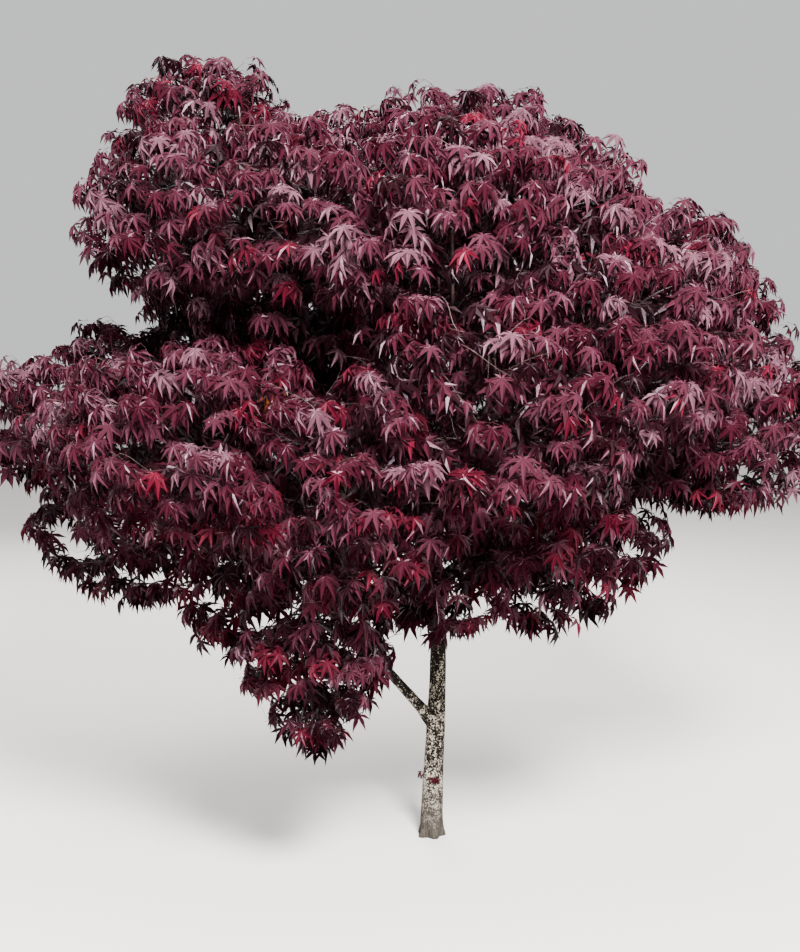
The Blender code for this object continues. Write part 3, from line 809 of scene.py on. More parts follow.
@dataclass
class Wood:
    """The bark-covered wood: trunk with its forks fused, and the boughs and limbs beyond."""

    skeleton: Skeleton
    bark: Material
    tubes: Tubes
    root_lobes: int = 5
    root_swell: float = 0.20
    root_fade: float = 0.075  # how high the roots swell the trunk
    sunk: float = 0.012  # how far the trunk is carried below the cut before it is trimmed
    trunk_steps: int = 160
    trunk_sides: int = 48
    stub: float = 0.24  # how much of each bough is fused with the trunk
    stub_sides: int = 20
    overlap: float = 0.02  # how far back in its stub the rest of a bough begins
    collar: float = 0.8  # how much thicker a limb is where it leaves its parent
    collar_length: float = 0.035
    voxel: float = 0.0029  # of the mesh that fuses the forks
    smoothing: int = 7
    smooth_strength: float = 0.5
    limb_sides: int = 14

    def relief_tree(self) -> NodeTree:
        """Makes the tree that raises the relief of the bark on a closed surface.

        Returns:
            The tree. Its inputs are the depths of the reliefs and the bark's material.
        """
        depths = {relief.name: relief.trunk_depth for relief in RELIEFS}
        tree, given, add = start_tree("bark_relief", depths | {"Bark": "NodeSocketMaterial"})
        place = add("GeometryNodeInputPosition")
        total: Node | float = 0.0
        for relief in RELIEFS:
            squeezed = {0: place, 1: (1.0, 1.0, relief.squeeze)}
            drawn_out = add("ShaderNodeVectorMath", squeezed, operation="MULTIPLY")
            rises = {"Vector": drawn_out, "Scale": 1.0 / relief.width, "Detail": relief.detail}
            centred = {0: add("ShaderNodeTexNoise", rises), 1: 0.5}
            wave = add("ShaderNodeMath", centred, operation="SUBTRACT")
            deep = {0: wave, 1: given.outputs[relief.name], 2: total}
            total = add("ShaderNodeMath", deep, operation="MULTIPLY_ADD")
        outward = {0: add("GeometryNodeInputNormal"), "Scale": total}
        lift = add("ShaderNodeVectorMath", outward, operation="SCALE")
        moved = add("GeometryNodeSetPosition", {"Geometry": given, "Offset": lift})
        end_tree(add, moved, [{"Material": given.outputs["Bark"]}])
        return tree

    def trunk_shape(self) -> Mesh:
        """Makes the trunk alone: a smooth tapering tube, swollen over each main root.

        Returns:
            The closed mesh, which still reaches below the cut.
        """
        shares, *columns = np.array(self.skeleton.stations).T
        rows = np.linspace(-self.sunk / self.skeleton.height, 1.0, self.trunk_steps + 1)
        sides = range(self.trunk_sides)
        points, faces = [], []
        smooth = [smooth_row(shares, column, rows) for column in columns]
        for share, right, back, radius in zip(rows, *smooth):
            z = share * self.skeleton.height
            fade = max(0.0, 1.0 - max(z, 0.0) / self.root_fade) ** 2
            for side in sides:
                turn = 2.0 * math.pi * side / self.trunk_sides
                wide = radius * (1.0 + self.root_swell * fade * math.cos(self.root_lobes * turn))
                points.append((right + wide * math.cos(turn), back + wide * math.sin(turn), z))
        top = self.trunk_steps * self.trunk_sides
        for low in range(0, top, self.trunk_sides):
            high = low + self.trunk_sides
            for side in sides:
                after = (side + 1) % self.trunk_sides
                faces.append((low + side, low + after, high + after, high + side))
        faces += [tuple(reversed(sides)), tuple(top + side for side in sides)]
        mesh = bpy.data.meshes.new("trunk_shape")
        mesh.from_pydata(points, [], faces)
        return mesh

    def flared(self, mass: Mass) -> Limb:
        """Gives the limb that carries a mass a collar where it comes out of its parent.

        Args:
            mass: the mass.

        Returns:
            The limb, with larger radii near its foot.
        """
        limb, parent = self.skeleton.limbs[mass.name], self.skeleton.limbs[mass.parent]
        parent_radius = float(np.interp(mass.fork, np.linspace(0.0, 1.0, len(parent.radii)), parent.radii))
        radii, run = [], 0.0
        for radius, step in zip(limb.radii, [0.0, *step_lengths(limb.path)]):
            run += step
            past = max(0.0, run - parent_radius)
            radii.append(radius * (1.0 + self.collar * math.exp(-past / self.collar_length)))
        return Limb(limb.path, radii)

    def build_trunk(self, relief: NodeTree) -> None:
        """Fuses the trunk with the feet of its boughs, gives it its relief and trims it at the ground.

        Args:
            relief: the tree that raises the relief.
        """
        trunk = add_object("trunk_shape", self.trunk_shape())
        stubs = []
        for mass in MASSES:
            if mass.parent == "trunk":
                limb = self.flared(mass)
                stubs.append(limb.stretch(slice(steps_within(limb.path, self.stub) + 1)))
        feet = self.tubes.mesh("feet", stubs, self.stub_sides, self.bark)
        work = bmesh.new()
        work.from_mesh(trunk.data)
        work.from_mesh(feet)
        work.to_mesh(trunk.data)
        work.free()
        bpy.data.meshes.remove(feet)
        remesh = trunk.modifiers.new("fuse", "REMESH")
        remesh.mode = "VOXEL"
        remesh.voxel_size = self.voxel
        remesh.use_smooth_shade = True
        smooth = trunk.modifiers.new("fillet", "SMOOTH")
        smooth.factor = self.smooth_strength
        smooth.iterations = self.smoothing
        mesh = run_tree(trunk, relief, {"Bark": self.bark})
        work = bmesh.new()
        work.from_mesh(mesh)
        everything = [*work.verts, *work.edges, *work.faces]
        bmesh.ops.bisect_plane(work, geom=everything, plane_co=(0, 0, 0), plane_no=-UP, clear_outer=True)
        bmesh.ops.contextual_create(work, geom=[edge for edge in work.edges if edge.is_boundary])
        work.to_mesh(mesh)
        work.free()
        hand_over("trunk_bark", mesh, ["trunk"])

    def build_limbs(self, relief: NodeTree) -> None:
        """Makes the boughs beyond the fused forks, and the limbs, in two pieces.

        Args:
            relief: the tree that raises the relief.
        """
        depths = {sort.name: sort.limb_depth for sort in RELIEFS}
        for name, from_trunk in (("bough_bark", True), ("limb_bark", False)):
            group = [mass for mass in MASSES if (mass.parent == "trunk") == from_trunk]
            limbs = []
            for mass in group:
                limb = self.flared(mass)
                skip = steps_within(limb.path, self.stub - self.overlap) if from_trunk else 0
                limbs.append(limb.stretch(slice(skip, None)))
            plain = self.tubes.mesh(name, limbs, self.limb_sides, self.bark)
            mesh = run_tree(add_object(name + "_plain", plain), relief, {"Bark": self.bark} | depths)
            hand_over(name, mesh, [mass.limb_solid() for mass in group])

    def build(self) -> None:
        """Makes all the bark-covered wood."""
        relief = self.relief_tree()
        self.build_trunk(relief)
        self.build_limbs(relief)

    def surface(self) -> BVHTree:
        """Makes a search tree of the faces of the finished bark.

        Returns:
            The search tree.
        """
        points: list[Vector] = []
        faces: list[tuple[int, ...]] = []
        for name in ("trunk_bark", "bough_bark", "limb_bark"):
            mesh = bpy.data.objects[name].data
            start = len(points)
            points += [vertex.co.copy() for vertex in mesh.vertices]
            faces += [tuple(start + corner for corner in face.vertices) for face in mesh.polygons]
        return BVHTree.FromPolygons(points, faces)


# ---------------- leaves


@dataclass(frozen=True)
class LeafShape:
    """One way that a leaf can look, at a length of 1 from its hub to the tip of its middle lobe.

    The blade lies round the hub with its middle lobe along +Y and its upper side to +Z, and droops with the
    square of the distance from the hub. Its stalk comes up to the hub from behind and below, and starts at
    the origin.
    """

    name: str
    lobes: tuple[tuple[float, float], ...]  # beside the middle one: degrees from it, share of the length
    droop: float
    fold: float  # how much farther the blade hangs on either side of its middle lobe
    fold_power: float = 1.5  # above 1, the fold steepens outwards
    lobe_width: float = 0.24
    notch: float = 0.28  # how far from the hub the gap between two lobes ends
    small: float = 0.5  # a lobe shorter than this is flat
    crease: float = 0.085  # how far a lobe's edges stand above its rib
    shoulder: float = 0.50  # where a lobe is widest, as a share of its length
    base: tuple[float, float] = (152.0, 0.15)  # the blade's last corner, as for the lobes
    stalk: float = 0.62
    stalk_rise: float = 38.0  # degrees between the stalk and the blade
    stalk_radius: float = 0.013
    stalk_foot: float = 1.25  # how much thicker the stalk is at its foot
    stalk_neck: float = 0.8  # and at the hub
    stalk_drop: float = 0.4  # how far under the hub it ends, in its own radii
    plain: bool = False  # flat lobes and no stalk, for the shade inside the crown

    def at(self, degrees: float, share: float, aside: float = 0.0, lift: float = 0.0) -> Vector:
        """Finds a point of the blade.

        Args:
            degrees: the way to it from the hub, from the middle lobe.
            share: how far it is from the hub.
            aside: how far it is off that line, clockwise.
            lift: how far it stands above the blade's own curve.

        Returns:
            The point, from the hub.
        """
        turn = math.radians(degrees)
        x = math.sin(turn) * share + math.cos(turn) * aside
        y = math.cos(turn) * share - math.sin(turn) * aside
        return Vector((x, y, lift - self.droop * (x * x + y * y) - self.fold * abs(x) ** self.fold_power))

    def mesh(self) -> Mesh:
        """Makes the leaf, blade and stalk.

        Returns:
            Its mesh.
        """
        rise = math.radians(self.stalk_rise)
        hub_place = Vector((0.0, math.cos(rise), math.sin(rise))) * self.stalk
        work = bmesh.new()
        hub = work.verts.new(hub_place)

        def point(*where: float) -> bmesh.types.BMVert:
            """A new corner of the blade."""
            return work.verts.new(hub_place + self.at(*where))

        row = [*((-degrees, length) for degrees, length in reversed(self.lobes)), (0.0, 1.0), *self.lobes]
        notches = [point(-self.base[0], self.base[1])]
        for (a, long_a), (b, long_b) in zip(row, row[1:]):
            notches.append(point((a + b) / 2.0, self.notch * min(long_a, long_b)))
        notches.append(point(*self.base))
        for (degrees, length), left, right in zip(row, notches, notches[1:]):
            tip = point(degrees, length)
            if length < self.small or self.plain:
                work.faces.new((hub, left, tip))
                work.faces.new((hub, tip, right))
                continue
            widest, half, up = self.shoulder * length, self.lobe_width * length / 2.0, self.crease * length
            before, after = point(degrees, widest, -half, up), point(degrees, widest, half, up)
            work.faces.new((hub, left, before, tip))
            work.faces.new((hub, tip, after, right))
        if not self.plain:
            self.add_stalk(work, hub_place)
        mesh = bpy.data.meshes.new("leaf_" + self.name)
        work.to_mesh(mesh)
        work.free()
        mesh.update()
        return mesh

    def add_stalk(self, work: bmesh.types.BMesh, hub_place: Vector) -> None:
        """Adds the stalk: a three-sided tube from the origin to the hub.

        Args:
            work: the leaf's mesh in the making.
            hub_place: where the hub is.
        """
        low, high = [], []
        drop = Vector((0.0, 0.0, self.stalk_radius * self.stalk_drop))
        for corner in range(3):
            turn = 2.0 * math.pi * corner / 3.0
            ring = Vector((math.cos(turn), 0.0, math.sin(turn))) * self.stalk_radius
            low.append(work.verts.new(ring * self.stalk_foot))
            high.append(work.verts.new(hub_place + ring * self.stalk_neck - drop))
        for corner in range(3):
            after = (corner + 1) % 3
            work.faces.new((low[corner], high[corner], high[after], low[after]))


LEAF_SHAPES = (
    LeafShape("arched", ((39, 0.94), (82, 0.74), (126, 0.36)), droop=0.34, fold=0.10),
    LeafShape("closed", ((35, 0.95), (74, 0.76), (118, 0.36)), droop=0.46, fold=0.30),
    LeafShape("level", ((42, 0.92), (86, 0.70), (130, 0.34)), droop=0.20, fold=0.04),
    LeafShape("young", ((52, 0.88), (100, 0.50)), droop=0.40, fold=0.22, lobe_width=0.22, notch=0.32),
    LeafShape("curled", ((37, 0.90), (80, 0.70), (122, 0.36)), droop=0.60, fold=0.16),
    LeafShape("shade", ((52, 0.92), (104, 0.62)), droop=0.36, fold=0.14, notch=0.44, plain=True),
)
SHADE_SHAPE = len(LEAF_SHAPES) - 1
SHAPE_ODDS = (5, 4, 2, 2, 2)  # of the shapes outside the shade
LEAF_LAYERS = {  # what each point says of its leaf
    "heading": "FLOAT_VECTOR",
    "face": "FLOAT_VECTOR",
    "length": "FLOAT",
    "shape": "INT",
    "tint": "INT",
}


@dataclass(frozen=True)
class Leaf:
    """One leaf in its place."""

    root: Vector
    heading: Vector
    face: Vector
    length: float
    shape: int
    tint: Tint


@dataclass
class LeafPress:
    """Turns lists of leaves into joined meshes."""

    def __post_init__(self) -> None:
        """Makes the leaf shapes, a finish for each colour and the tree that scatters the leaves."""
        self.shapes = bpy.data.collections.new("leaf_shapes")
        for number, shape in enumerate(LEAF_SHAPES):
            thing = bpy.data.objects.new(f"{number}_{shape.name}", shape.mesh())
            self.shapes.objects.link(thing)
        self.finishes = [tint.value.material() for tint in TINTS]
        self.tree = self.scatter_tree()

    def scatter_tree(self) -> NodeTree:
        """Makes the tree that sets a leaf on each point, turned, scaled, shaped and coloured as it says.

        Returns:
            The tree.
        """
        inputs = {"Shapes": "NodeSocketCollection", "Leaf size": 1.0}
        tree, given, add = start_tree("leaf_scatter", inputs)
        apart = {"Collection": given.outputs["Shapes"], "Separate Children": True, "Reset Children": True}
        carried = {
            name: add("GeometryNodeInputNamedAttribute", {"Name": name}, data_type=kind)
            for name, kind in LEAF_LAYERS.items()
        }
        axes = {"Primary Axis": carried["heading"], "Secondary Axis": carried["face"]}
        turned = add("FunctionNodeAxesToRotation", axes, primary_axis="Y", secondary_axis="Z")
        lengths = {0: carried["length"], 1: given.outputs["Leaf size"]}
        sized = add("ShaderNodeMath", lengths, operation="MULTIPLY")
        shapes = add("GeometryNodeCollectionInfo", apart)
        picked = {"Instance": shapes, "Pick Instance": True, "Instance Index": carried["shape"]}
        placed = {"Points": given, "Rotation": turned, "Scale": sized}
        leaves = add("GeometryNodeInstanceOnPoints", picked | placed)
        skins = []
        for number, finish in enumerate(self.finishes):
            both = {2: carried["tint"], 3: number}
            same = add("FunctionNodeCompare", both, data_type="INT", operation="EQUAL")
            skins.append({"Selection": same, "Material": finish})
        end_tree(add, leaves, skins)
        return tree

    def joined(self, leaves: Sequence[Leaf]) -> Mesh:
        """Joins leaves.

        Args:
            leaves: the leaves, each in its place.

        Returns:
            One mesh of them all.
        """
        mesh = bpy.data.meshes.new("leaf_points")
        mesh.from_pydata([tuple(leaf.root) for leaf in leaves], [], [])
        values = {
            "heading": [part for leaf in leaves for part in leaf.heading],
            "face": [part for leaf in leaves for part in leaf.face],
            "length": [leaf.length for leaf in leaves],
            "shape": [leaf.shape for leaf in leaves],
            "tint": [TINTS.index(leaf.tint) for leaf in leaves],
        }
        for name, kind in LEAF_LAYERS.items():
            field = "vector" if kind == "FLOAT_VECTOR" else "value"
            mesh.attributes.new(name, kind, "POINT").data.foreach_set(field, values[name])
        result = run_tree(add_object("leaf_points", mesh), self.tree, {"Shapes": self.shapes})
        for name in LEAF_LAYERS:
            if name in result.attributes:
                result.attributes.remove(result.attributes[name])
        return result


# ---------------- growth


@dataclass
class Twig:
    """A stem or twig: its path, the twig that it leaves and where, and how many sprays it carries."""

    path: Sequence[Vector]
    parent: Twig | None = None
    leaves_at: float = 0.0
    shaded: bool = False
    load: int = 0

    def __post_init__(self) -> None:
        """Adds this twig's own spray to the load of everything below it."""
        twig: Twig | None = self
        while twig is not None:
            twig.load += 1
            twig = twig.parent

    def length(self) -> float:
        """How long it is."""
        return sum(step_lengths(self.path))


@dataclass(frozen=True)
class Fork:
    """A place where a twig may start, its heading there, and how far that is from the stem's foot."""

    place: Vector
    heading: Vector
    way_back: float
    twig: Twig
    share: float


@dataclass
class Growth:
    """What grows in one mass: a stem, twigs that branch from it, and a spray of leaves on each twig."""

    mass: Mass
    limb: Limb
    space: Space
    wood: BVHTree  # the surface of the trunk and limbs
    # how far out the sprays of each layer stand, as a share of the reach, how far apart, and if in the shade
    layers: tuple[tuple[float, float, bool], ...] = (
        (0.87, 0.086, False),
        (0.70, 0.099, False),
        (0.48, 0.122, True),
    )
    twig_edge: float = 0.91  # the share of the reach that the twigs keep within
    leaf_edge: float = 0.955  # and the leaves
    tier: float = 0.15  # between one tier of sprays and the next
    tier_hold: float = 0.30  # how strictly the sprays keep to their tiers
    tier_slope: float = 0.75  # how a tier falls away from the middle of its mass
    jitter: float = 0.026  # how far a spray is off its even place, more or less
    lift: float = 0.028  # how much higher a twig ends, because its leaves hang
    spill: float = 0.045  # how far a leaf may lean over a wall
    stem_start: float = 0.01  # how far back in its limb the stem begins
    stem_reach: float = 0.30  # how far past the middle it goes, as a share of the reach
    stem_steps: int = 8
    stem_forks: int = 10
    first_fork: float = 0.12  # the stem's first fork, as a share of its length
    fork_span: float = 0.86  # from its first fork to its last
    twig_forks: Triple = (0.38, 0.62, 0.82)
    detour: float = 0.45  # how much a longer way back counts against a fork
    least: float = 0.03  # a shorter twig isn't grown
    bow: float = 0.36  # how far a twig keeps to its end headings, as a share of its length
    follow: float = 0.7  # how much it follows its parent at first
    onward: float = 0.8  # how much it keeps its way at its tip
    rise: float = 0.15  # how much it still rises or falls there
    nod: float = 0.22  # how much its tip hangs
    twig_steps: int = 5
    tip_radius: float = 0.0009
    swell: float = 0.42  # how a twig thickens with the sprays that it carries
    foot: float = 1.3  # how thick its foot is beside its tip, with one spray
    thinner: float = 0.45  # how much thinner its parent is at the tip than at the foot
    finer: float = 0.92  # how thick it is at most beside its parent there
    stem_tip: float = 0.5  # how thick the stem's tip is beside its foot
    clearance: float = 0.004  # between what grows and the wood
    leaf_length: float = 0.050
    spread: float = 0.16  # of the leaf lengths from spray to spray
    unlike: float = 0.12  # and within a spray
    # along the twig back from its tip in leaf lengths, and degrees from its heading
    pairs: tuple[tuple[float, float], ...] = ((0.0, 20.0), (0.45, 46.0), (1.05, 66.0), (1.75, 80.0))
    leafy: float = 0.85  # the share of a twig that may have leaves
    skipped: float = 0.06  # the share of leaves that have fallen or never grew
    upright: float = 0.2  # a twig less level than this spreads its leaves outwards
    aside: float = 16.0  # degrees that a leaf is off its place at most
    fall: tuple[float, float] = (32.0, 76.0)  # degrees that leaves hang below the level
    roll: float = 13.0  # degrees that leaves are turned about their own line, more or less
    outward: float = 0.35  # how much a leaf faces outwards
    ahead: float = 0.25  # and the way that it points
    hub: tuple[float, float] = (0.49, 0.38)  # from a leaf's root, along and above, in leaf lengths
    half_leaf: float = 0.74  # how far it reaches to each side of its hub
    top: float = 1.75  # the height where the colours of the top begin
    middle: float = 1.15  # and those of the middle
    same_tint: float = 0.78  # the share of leaves in just the colour of their spray
    scarlet: float = 0.05  # the share of scarlet ones among the rest

    def __post_init__(self) -> None:
        """Grows the twigs and then the leaves."""
        self.chance = random.Random(self.mass.name)
        self.twigs = [Twig(self.stem_path())]
        self.leaves: list[Leaf] = []
        self.grow_twigs()
        for twig in self.twigs[1:]:
            self.grow_spray(twig)

    def stem_path(self) -> list[Vector]:
        """Lays out the stem: it goes on from the limb's tip, through the middle of the mass and past it.

        Returns:
            Its path.
        """
        heading = (self.limb.path[-1] - self.limb.path[-2]).normalized()
        start = self.limb.path[-1] - heading * self.stem_start
        onward = (self.space.middle - start).normalized()
        end = self.space.middle + onward * self.mass.half_width(onward) * self.stem_reach
        bend = (end - start).length / 3.0
        return bezier(start, start + heading * bend, end - onward * bend, end, self.stem_steps)

    def tips(self) -> list[tuple[Vector, bool]]:
        """Finds where the sprays hang: spread evenly over each layer, then drawn towards their tier.

        Returns:
            Each place, and whether it is in the shade.
        """
        tips = []
        middle, chance = self.space.middle, self.chance
        width = sum(self.mass.reach) / 3.0
        phase = chance.uniform(0.0, self.tier)
        for share, spacing, shaded in self.layers:
            count = round(4.0 * math.pi * (width * share / spacing) ** 2)
            for heading in even_headings(count, chance.uniform(0.0, 2.0 * math.pi)):
                tip = middle + Vector(h * r * share for h, r in zip(heading, self.mass.reach))
                tip += Vector(chance.gauss(0.0, self.jitter) for _ in range(3))
                away = tip - middle
                fall = self.tier_slope * math.hypot(away.x, away.y)
                level = away.z + fall - phase
                held = round(level / self.tier) * self.tier + phase - fall
                tip.z += (middle.z + held - tip.z) * self.tier_hold + self.lift
                if self.space.fills(tip, -0.5 * self.spill, self.twig_edge):
                    tips.append((tip, shaded))
        return tips

    def grow_twigs(self) -> None:
        """Grows the twigs, each from where the way back to the stem's foot is best."""
        stem = self.twigs[0]
        forks = []
        for i in range(self.stem_forks):
            share = self.first_fork + self.fork_span * i / (self.stem_forks - 1)
            forks.append(Fork(*place_along(stem.path, share), share * stem.length(), stem, share))
        for tip, shaded in sorted(self.tips(), key=lambda row: (row[0] - stem.path[0]).length):
            fork = min(forks, key=lambda fork: (tip - fork.place).length + self.detour * fork.way_back)
            path = self.twig_path(fork, tip)
            if (tip - fork.place).length < self.least or self.meets_wood(path[2:]):
                continue
            twig = Twig(path, fork.twig, fork.share, shaded)
            self.twigs.append(twig)
            for share in self.twig_forks:
                place, heading = place_along(path, share)
                back = fork.way_back + (place - fork.place).length
                forks.append(Fork(place, heading, back, twig, share))

    def twig_path(self, fork: Fork, tip: Vector) -> list[Vector]:
        """Lays out a twig.

        Args:
            fork: where it starts.
            tip: where it ends.

        Returns:
            Its path.
        """
        way = tip - fork.place
        away = tip - self.space.middle
        flat = Vector((away.x, away.y, self.rise * away.z)).normalized()
        last = (flat + way.normalized() * self.onward - UP * self.nod).normalized()
        first = (fork.heading * self.follow + way.normalized()).normalized()
        after = fork.place + first * way.length * self.bow
        before = tip - last * way.length * self.bow
        return bezier(fork.place, after, before, tip, self.twig_steps)

    def meets_wood(self, points: Sequence[Vector]) -> bool:
        """Tells whether any of these points touches the trunk or a limb."""
        return any(self.wood.find_nearest(point, self.clearance)[0] for point in points)

    def foot_radius(self, twig: Twig) -> float:
        """Works out how thick the foot of a twig is: less than its parent is there.

        Args:
            twig: the twig.

        Returns:
            Its radius at the foot.
        """
        own = self.tip_radius * self.foot * max(twig.load, 1) ** self.swell
        if twig.parent is None:
            return own
        return min(own, self.foot_radius(twig.parent) * (1.0 - self.thinner * twig.leaves_at) * self.finer)

    def limb_of(self, twig: Twig) -> Limb:
        """Gives a twig its thickness.

        Args:
            twig: the twig.

        Returns:
            Its path with its radii.
        """
        foot, steps = self.foot_radius(twig), len(twig.path) - 1
        tip = min(self.tip_radius, foot) if twig.parent else foot * self.stem_tip
        return Limb(twig.path, [foot + (tip - foot) * i / steps for i in range(steps + 1)])

    def odds(self, twig: Twig) -> Odds:
        """Finds which colours a spray may have: near-black ones as painted shade inside the crown, and more
        mauve as painted sheen higher up.

        Args:
            twig: the twig that carries the spray.

        Returns:
            The odds of each.
        """
        tip = twig.path[-1]
        if twig.shaded:
            return Odds.SHADE
        if tip.z > self.top:
            return Odds.TOP_RIGHT if tip.x > 0.0 else Odds.TOP_LEFT
        return Odds.MIDDLE if tip.z > self.middle else Odds.LOW

    def grow_spray(self, twig: Twig) -> None:
        """Grows the leaves of one spray, in pairs along the end of its twig.

        Args:
            twig: the twig that carries the spray.
        """
        chance = self.chance
        tint = chance.choices(TINTS, self.odds(twig).value)[0]
        size = self.leaf_length * (1.0 + chance.uniform(-self.spread, self.spread))
        length = twig.length()
        outward = (twig.path[-1] - self.space.middle).normalized()
        for back, degrees in self.pairs:
            if back * size > length * self.leafy:
                break
            place, along = place_along(twig.path, 1.0 - back * size / length)
            level = Vector((along.x, along.y, 0.0))
            level = level.normalized() if level.length > self.upright else square_to(UP, outward)
            for hand in (-1.0, 1.0):
                if chance.random() < self.skipped:
                    continue
                aside = math.radians(hand * (degrees + chance.uniform(-self.aside, self.aside)))
                way = Matrix.Rotation(aside, 3, "Z") @ level
                fall = math.radians(chance.uniform(*self.fall))
                heading = (way * math.cos(fall) - UP * math.sin(fall)).normalized()
                face = square_to(heading, UP + outward * self.outward + way * self.ahead)
                roll = Matrix.Rotation(math.radians(chance.gauss(0.0, self.roll)), 3, heading)
                own = size * (1.0 + chance.uniform(-self.unlike, self.unlike))
                shape = SHADE_SHAPE if twig.shaded else chance.choices(range(SHADE_SHAPE), SHAPE_ODDS)[0]
                leaf = Leaf(place, heading, roll @ face, own, shape, self.own_tint(tint))
                if self.fits(leaf):
                    self.leaves.append(leaf)

    def own_tint(self, tint: Tint) -> Tint:
        """Gives a leaf its colour: its spray's, or now and then the one beside it, or scarlet.

        Args:
            tint: the colour of the spray.

        Returns:
            The colour of the leaf.
        """
        if self.chance.random() < self.same_tint:
            return tint
        return Tint.SCARLET if self.chance.random() < self.scarlet else BESIDE[tint]

    def fits(self, leaf: Leaf) -> bool:
        """Tells whether a leaf stays within the mass's reach and clear of the limbs.

        Args:
            leaf: the leaf.

        Returns:
            True if it does.
        """
        hub = leaf.root + (leaf.heading * self.hub[0] + leaf.face * self.hub[1]) * leaf.length
        tip = hub + (leaf.heading - leaf.face * LEAF_SHAPES[leaf.shape].droop) * leaf.length
        side = leaf.face.cross(leaf.heading) * self.half_leaf * leaf.length
        ends = (tip, hub - side, hub + side)
        inside = all(self.space.fills(end, -self.spill, self.leaf_edge) for end in ends)
        return inside and not self.meets_wood((hub, tip))


@dataclass
class Crown:
    """The foliage of all the masses, joined by the part of the crown that they are in."""

    skeleton: Skeleton
    press: LeafPress
    tubes: Tubes
    twig_skin: Material
    twig_sides: int = 3
    middle_above: float = 1.2
    high_above: float = 1.7
    back_behind: float = 0.1
    left_before: float = -0.3

    def part_of(self, mass: Mass) -> str:
        """Names the part of the crown that a mass is in.

        Args:
            mass: the mass.

        Returns:
            The name of the part.
        """
        x, y, z = mass.middle
        level = "low" if z < self.middle_above else "middle" if z < self.high_above else "high"
        side = "back" if y > self.back_behind else "left" if x < self.left_before else "right"
        return f"{level}_{side}"

    def build(self, wood: BVHTree) -> None:
        """Grows every mass, and joins the twigs and the leaves of each part of the crown.

        Args:
            wood: the surface of the trunk and limbs.
        """
        parts: dict[str, list[Mass]] = {}
        for mass in MASSES:
            parts.setdefault(self.part_of(mass), []).append(mass)
        limbs, spaces = self.skeleton.limbs, self.skeleton.spaces
        for part, masses in parts.items():
            grown = [Growth(mass, limbs[mass.name], spaces[mass.name], wood) for mass in masses]
            solids = ["foliage_" + mass.name for mass in masses]
            twigs = [growth.limb_of(twig) for growth in grown for twig in growth.twigs]
            leaves = [leaf for growth in grown for leaf in growth.leaves]
            twig_mesh = self.tubes.mesh("twig_lines", twigs, self.twig_sides, self.twig_skin)
            hand_over("twigs_" + part, twig_mesh, solids)
            hand_over("leaves_" + part, self.press.joined(leaves), solids)
            log.info("%s: %d twigs, %d leaves", part, len(twigs), len(leaves))


@dataclass
class Sprouts:
    """Small shoots that break straight out of the trunk's bark, each a tuft of a few young leaves."""

    skeleton: Skeleton
    press: LeafPress
    # height, and degrees round the trunk from the front, to the right
    places: tuple[tuple[float, float], ...] = ((0.188, 4.0), (0.197, -72.0))
    leaf_length: float = 0.017
    # degrees to the side of straight out, degrees below the level, colour
    leaves: tuple[tuple[float, float, Tint], ...] = (
        (-58.0, 12.0, Tint.CRIMSON),
        (-20.0, 38.0, Tint.WINE),
        (24.0, 20.0, Tint.CRIMSON),
        (62.0, 34.0, Tint.WINE),
        (4.0, -20.0, Tint.CRIMSON),
    )

    def build(self) -> None:
        """Makes the tufts, in one piece."""
        trunk = self.skeleton.limbs["trunk"]
        heights = [point.z for point in trunk.path]
        tufts = []
        for height, degrees in self.places:
            axis, _ = place_along(trunk.path, height / self.skeleton.height)
            out = Matrix.Rotation(math.radians(degrees), 3, "Z") @ FRONT
            root = axis + out * float(np.interp(height, heights, trunk.radii))
            for aside, fall, tint in self.leaves:
                way = Matrix.Rotation(math.radians(aside), 3, "Z") @ out
                tilt = math.radians(fall)
                heading = way * math.cos(tilt) - UP * math.sin(tilt)
                tufts.append(Leaf(root, heading, square_to(heading, UP + out), self.leaf_length, 0, tint))
        hand_over("trunk_sprouts", self.press.joined(tufts), [])


# ---------------- the studio


@dataclass(frozen=True)
class Lamp:
    """A square soft light."""

    name: str
    place: Triple
    size: float
    power: float  # in watts


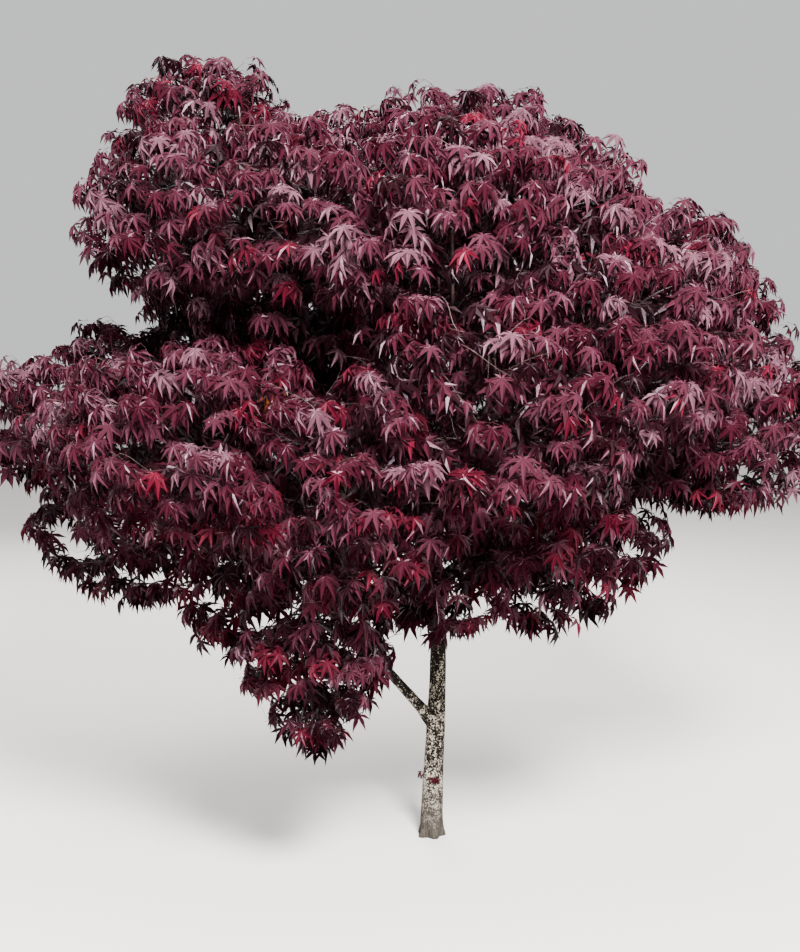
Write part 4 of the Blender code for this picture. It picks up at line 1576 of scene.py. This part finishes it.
@dataclass
class Studio:
    """The floor, the soft lights and the camera."""

    floor_radius: float = 30.0
    floor_sides: int = 96
    floor_drop: float = 0.0005  # how far it lies under the cut, so that the two don't flicker
    floor_colour: str = "#cdcac5"
    floor_roughness: float = 0.9
    eye: Triple = (-0.097, -4.39, 1.60)
    tilt: float = 83.9  # degrees from straight down
    lens: float = 54.64
    sky: str = "#f2f3f5"
    sky_strength: float = 0.9
    lamps: tuple[Lamp, ...] = (
        Lamp("key", (1.0, -4.7, 4.2), 1.3, 2700.0),
        Lamp("top", (0.0, 0.4, 6.2), 4.0, 500.0),
        Lamp("back", (-1.5, 5.0, 4.2), 3.0, 600.0),
    )
    aim: Triple = (-0.1, 0.0, 1.4)  # the middle of the crown, which every light looks at

    def build(self) -> None:
        """Makes the floor, the sky, the lights and the camera."""
        self.lay_floor()
        world = bpy.data.worlds.new("studio_sky")
        world.use_nodes = True
        sky = {"Color": linear(self.sky), "Strength": self.sky_strength}
        feed(world.node_tree.nodes["Background"], sky)
        bpy.context.scene.world = world
        for lamp in self.lamps:
            light = bpy.data.lights.new(lamp.name, "AREA")
            light.size = lamp.size
            light.energy = lamp.power
            stand = add_object(lamp.name, light)
            stand.location = lamp.place
            way = Vector(self.aim) - Vector(lamp.place)
            stand.rotation_euler = way.to_track_quat("-Z", "Y").to_euler()
        view = bpy.data.cameras.new("camera")
        view.lens = self.lens
        camera = add_object("camera", view)
        camera.location = self.eye
        camera.rotation_euler = (math.radians(self.tilt), 0.0, 0.0)
        bpy.context.scene.camera = camera

    def lay_floor(self) -> None:
        """Makes the floor: a wide disc of matt plaster."""
        mesh = bpy.data.meshes.new("floor")
        work = bmesh.new()
        bmesh.ops.create_circle(work, cap_ends=True, segments=self.floor_sides, radius=self.floor_radius)
        work.to_mesh(mesh)
        work.free()
        floor = add_object("floor", mesh)
        floor.location.z = -self.floor_drop
        plaster, shader, _ = start_material("floor_plaster")
        feed(shader, {"Base Color": linear(self.floor_colour), "Roughness": self.floor_roughness})
        mesh.materials.append(plaster)
        floor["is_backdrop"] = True


# ---------------- all of it


def main() -> None:
    """Builds the tree and the studio."""
    logging.basicConfig(level=logging.INFO, format="%(name)s: %(message)s")
    skeleton = Skeleton()
    tubes = Tubes()
    wood = Wood(skeleton, MapleBark().material(), tubes)
    wood.build()
    surface = wood.surface()
    press = LeafPress()
    Crown(skeleton, press, tubes, YoungBark().material()).build(surface)
    Sprouts(skeleton, press).build()
    Studio().build()
    bpy.context.view_layer.update()


if __name__ == "__main__":
    main()
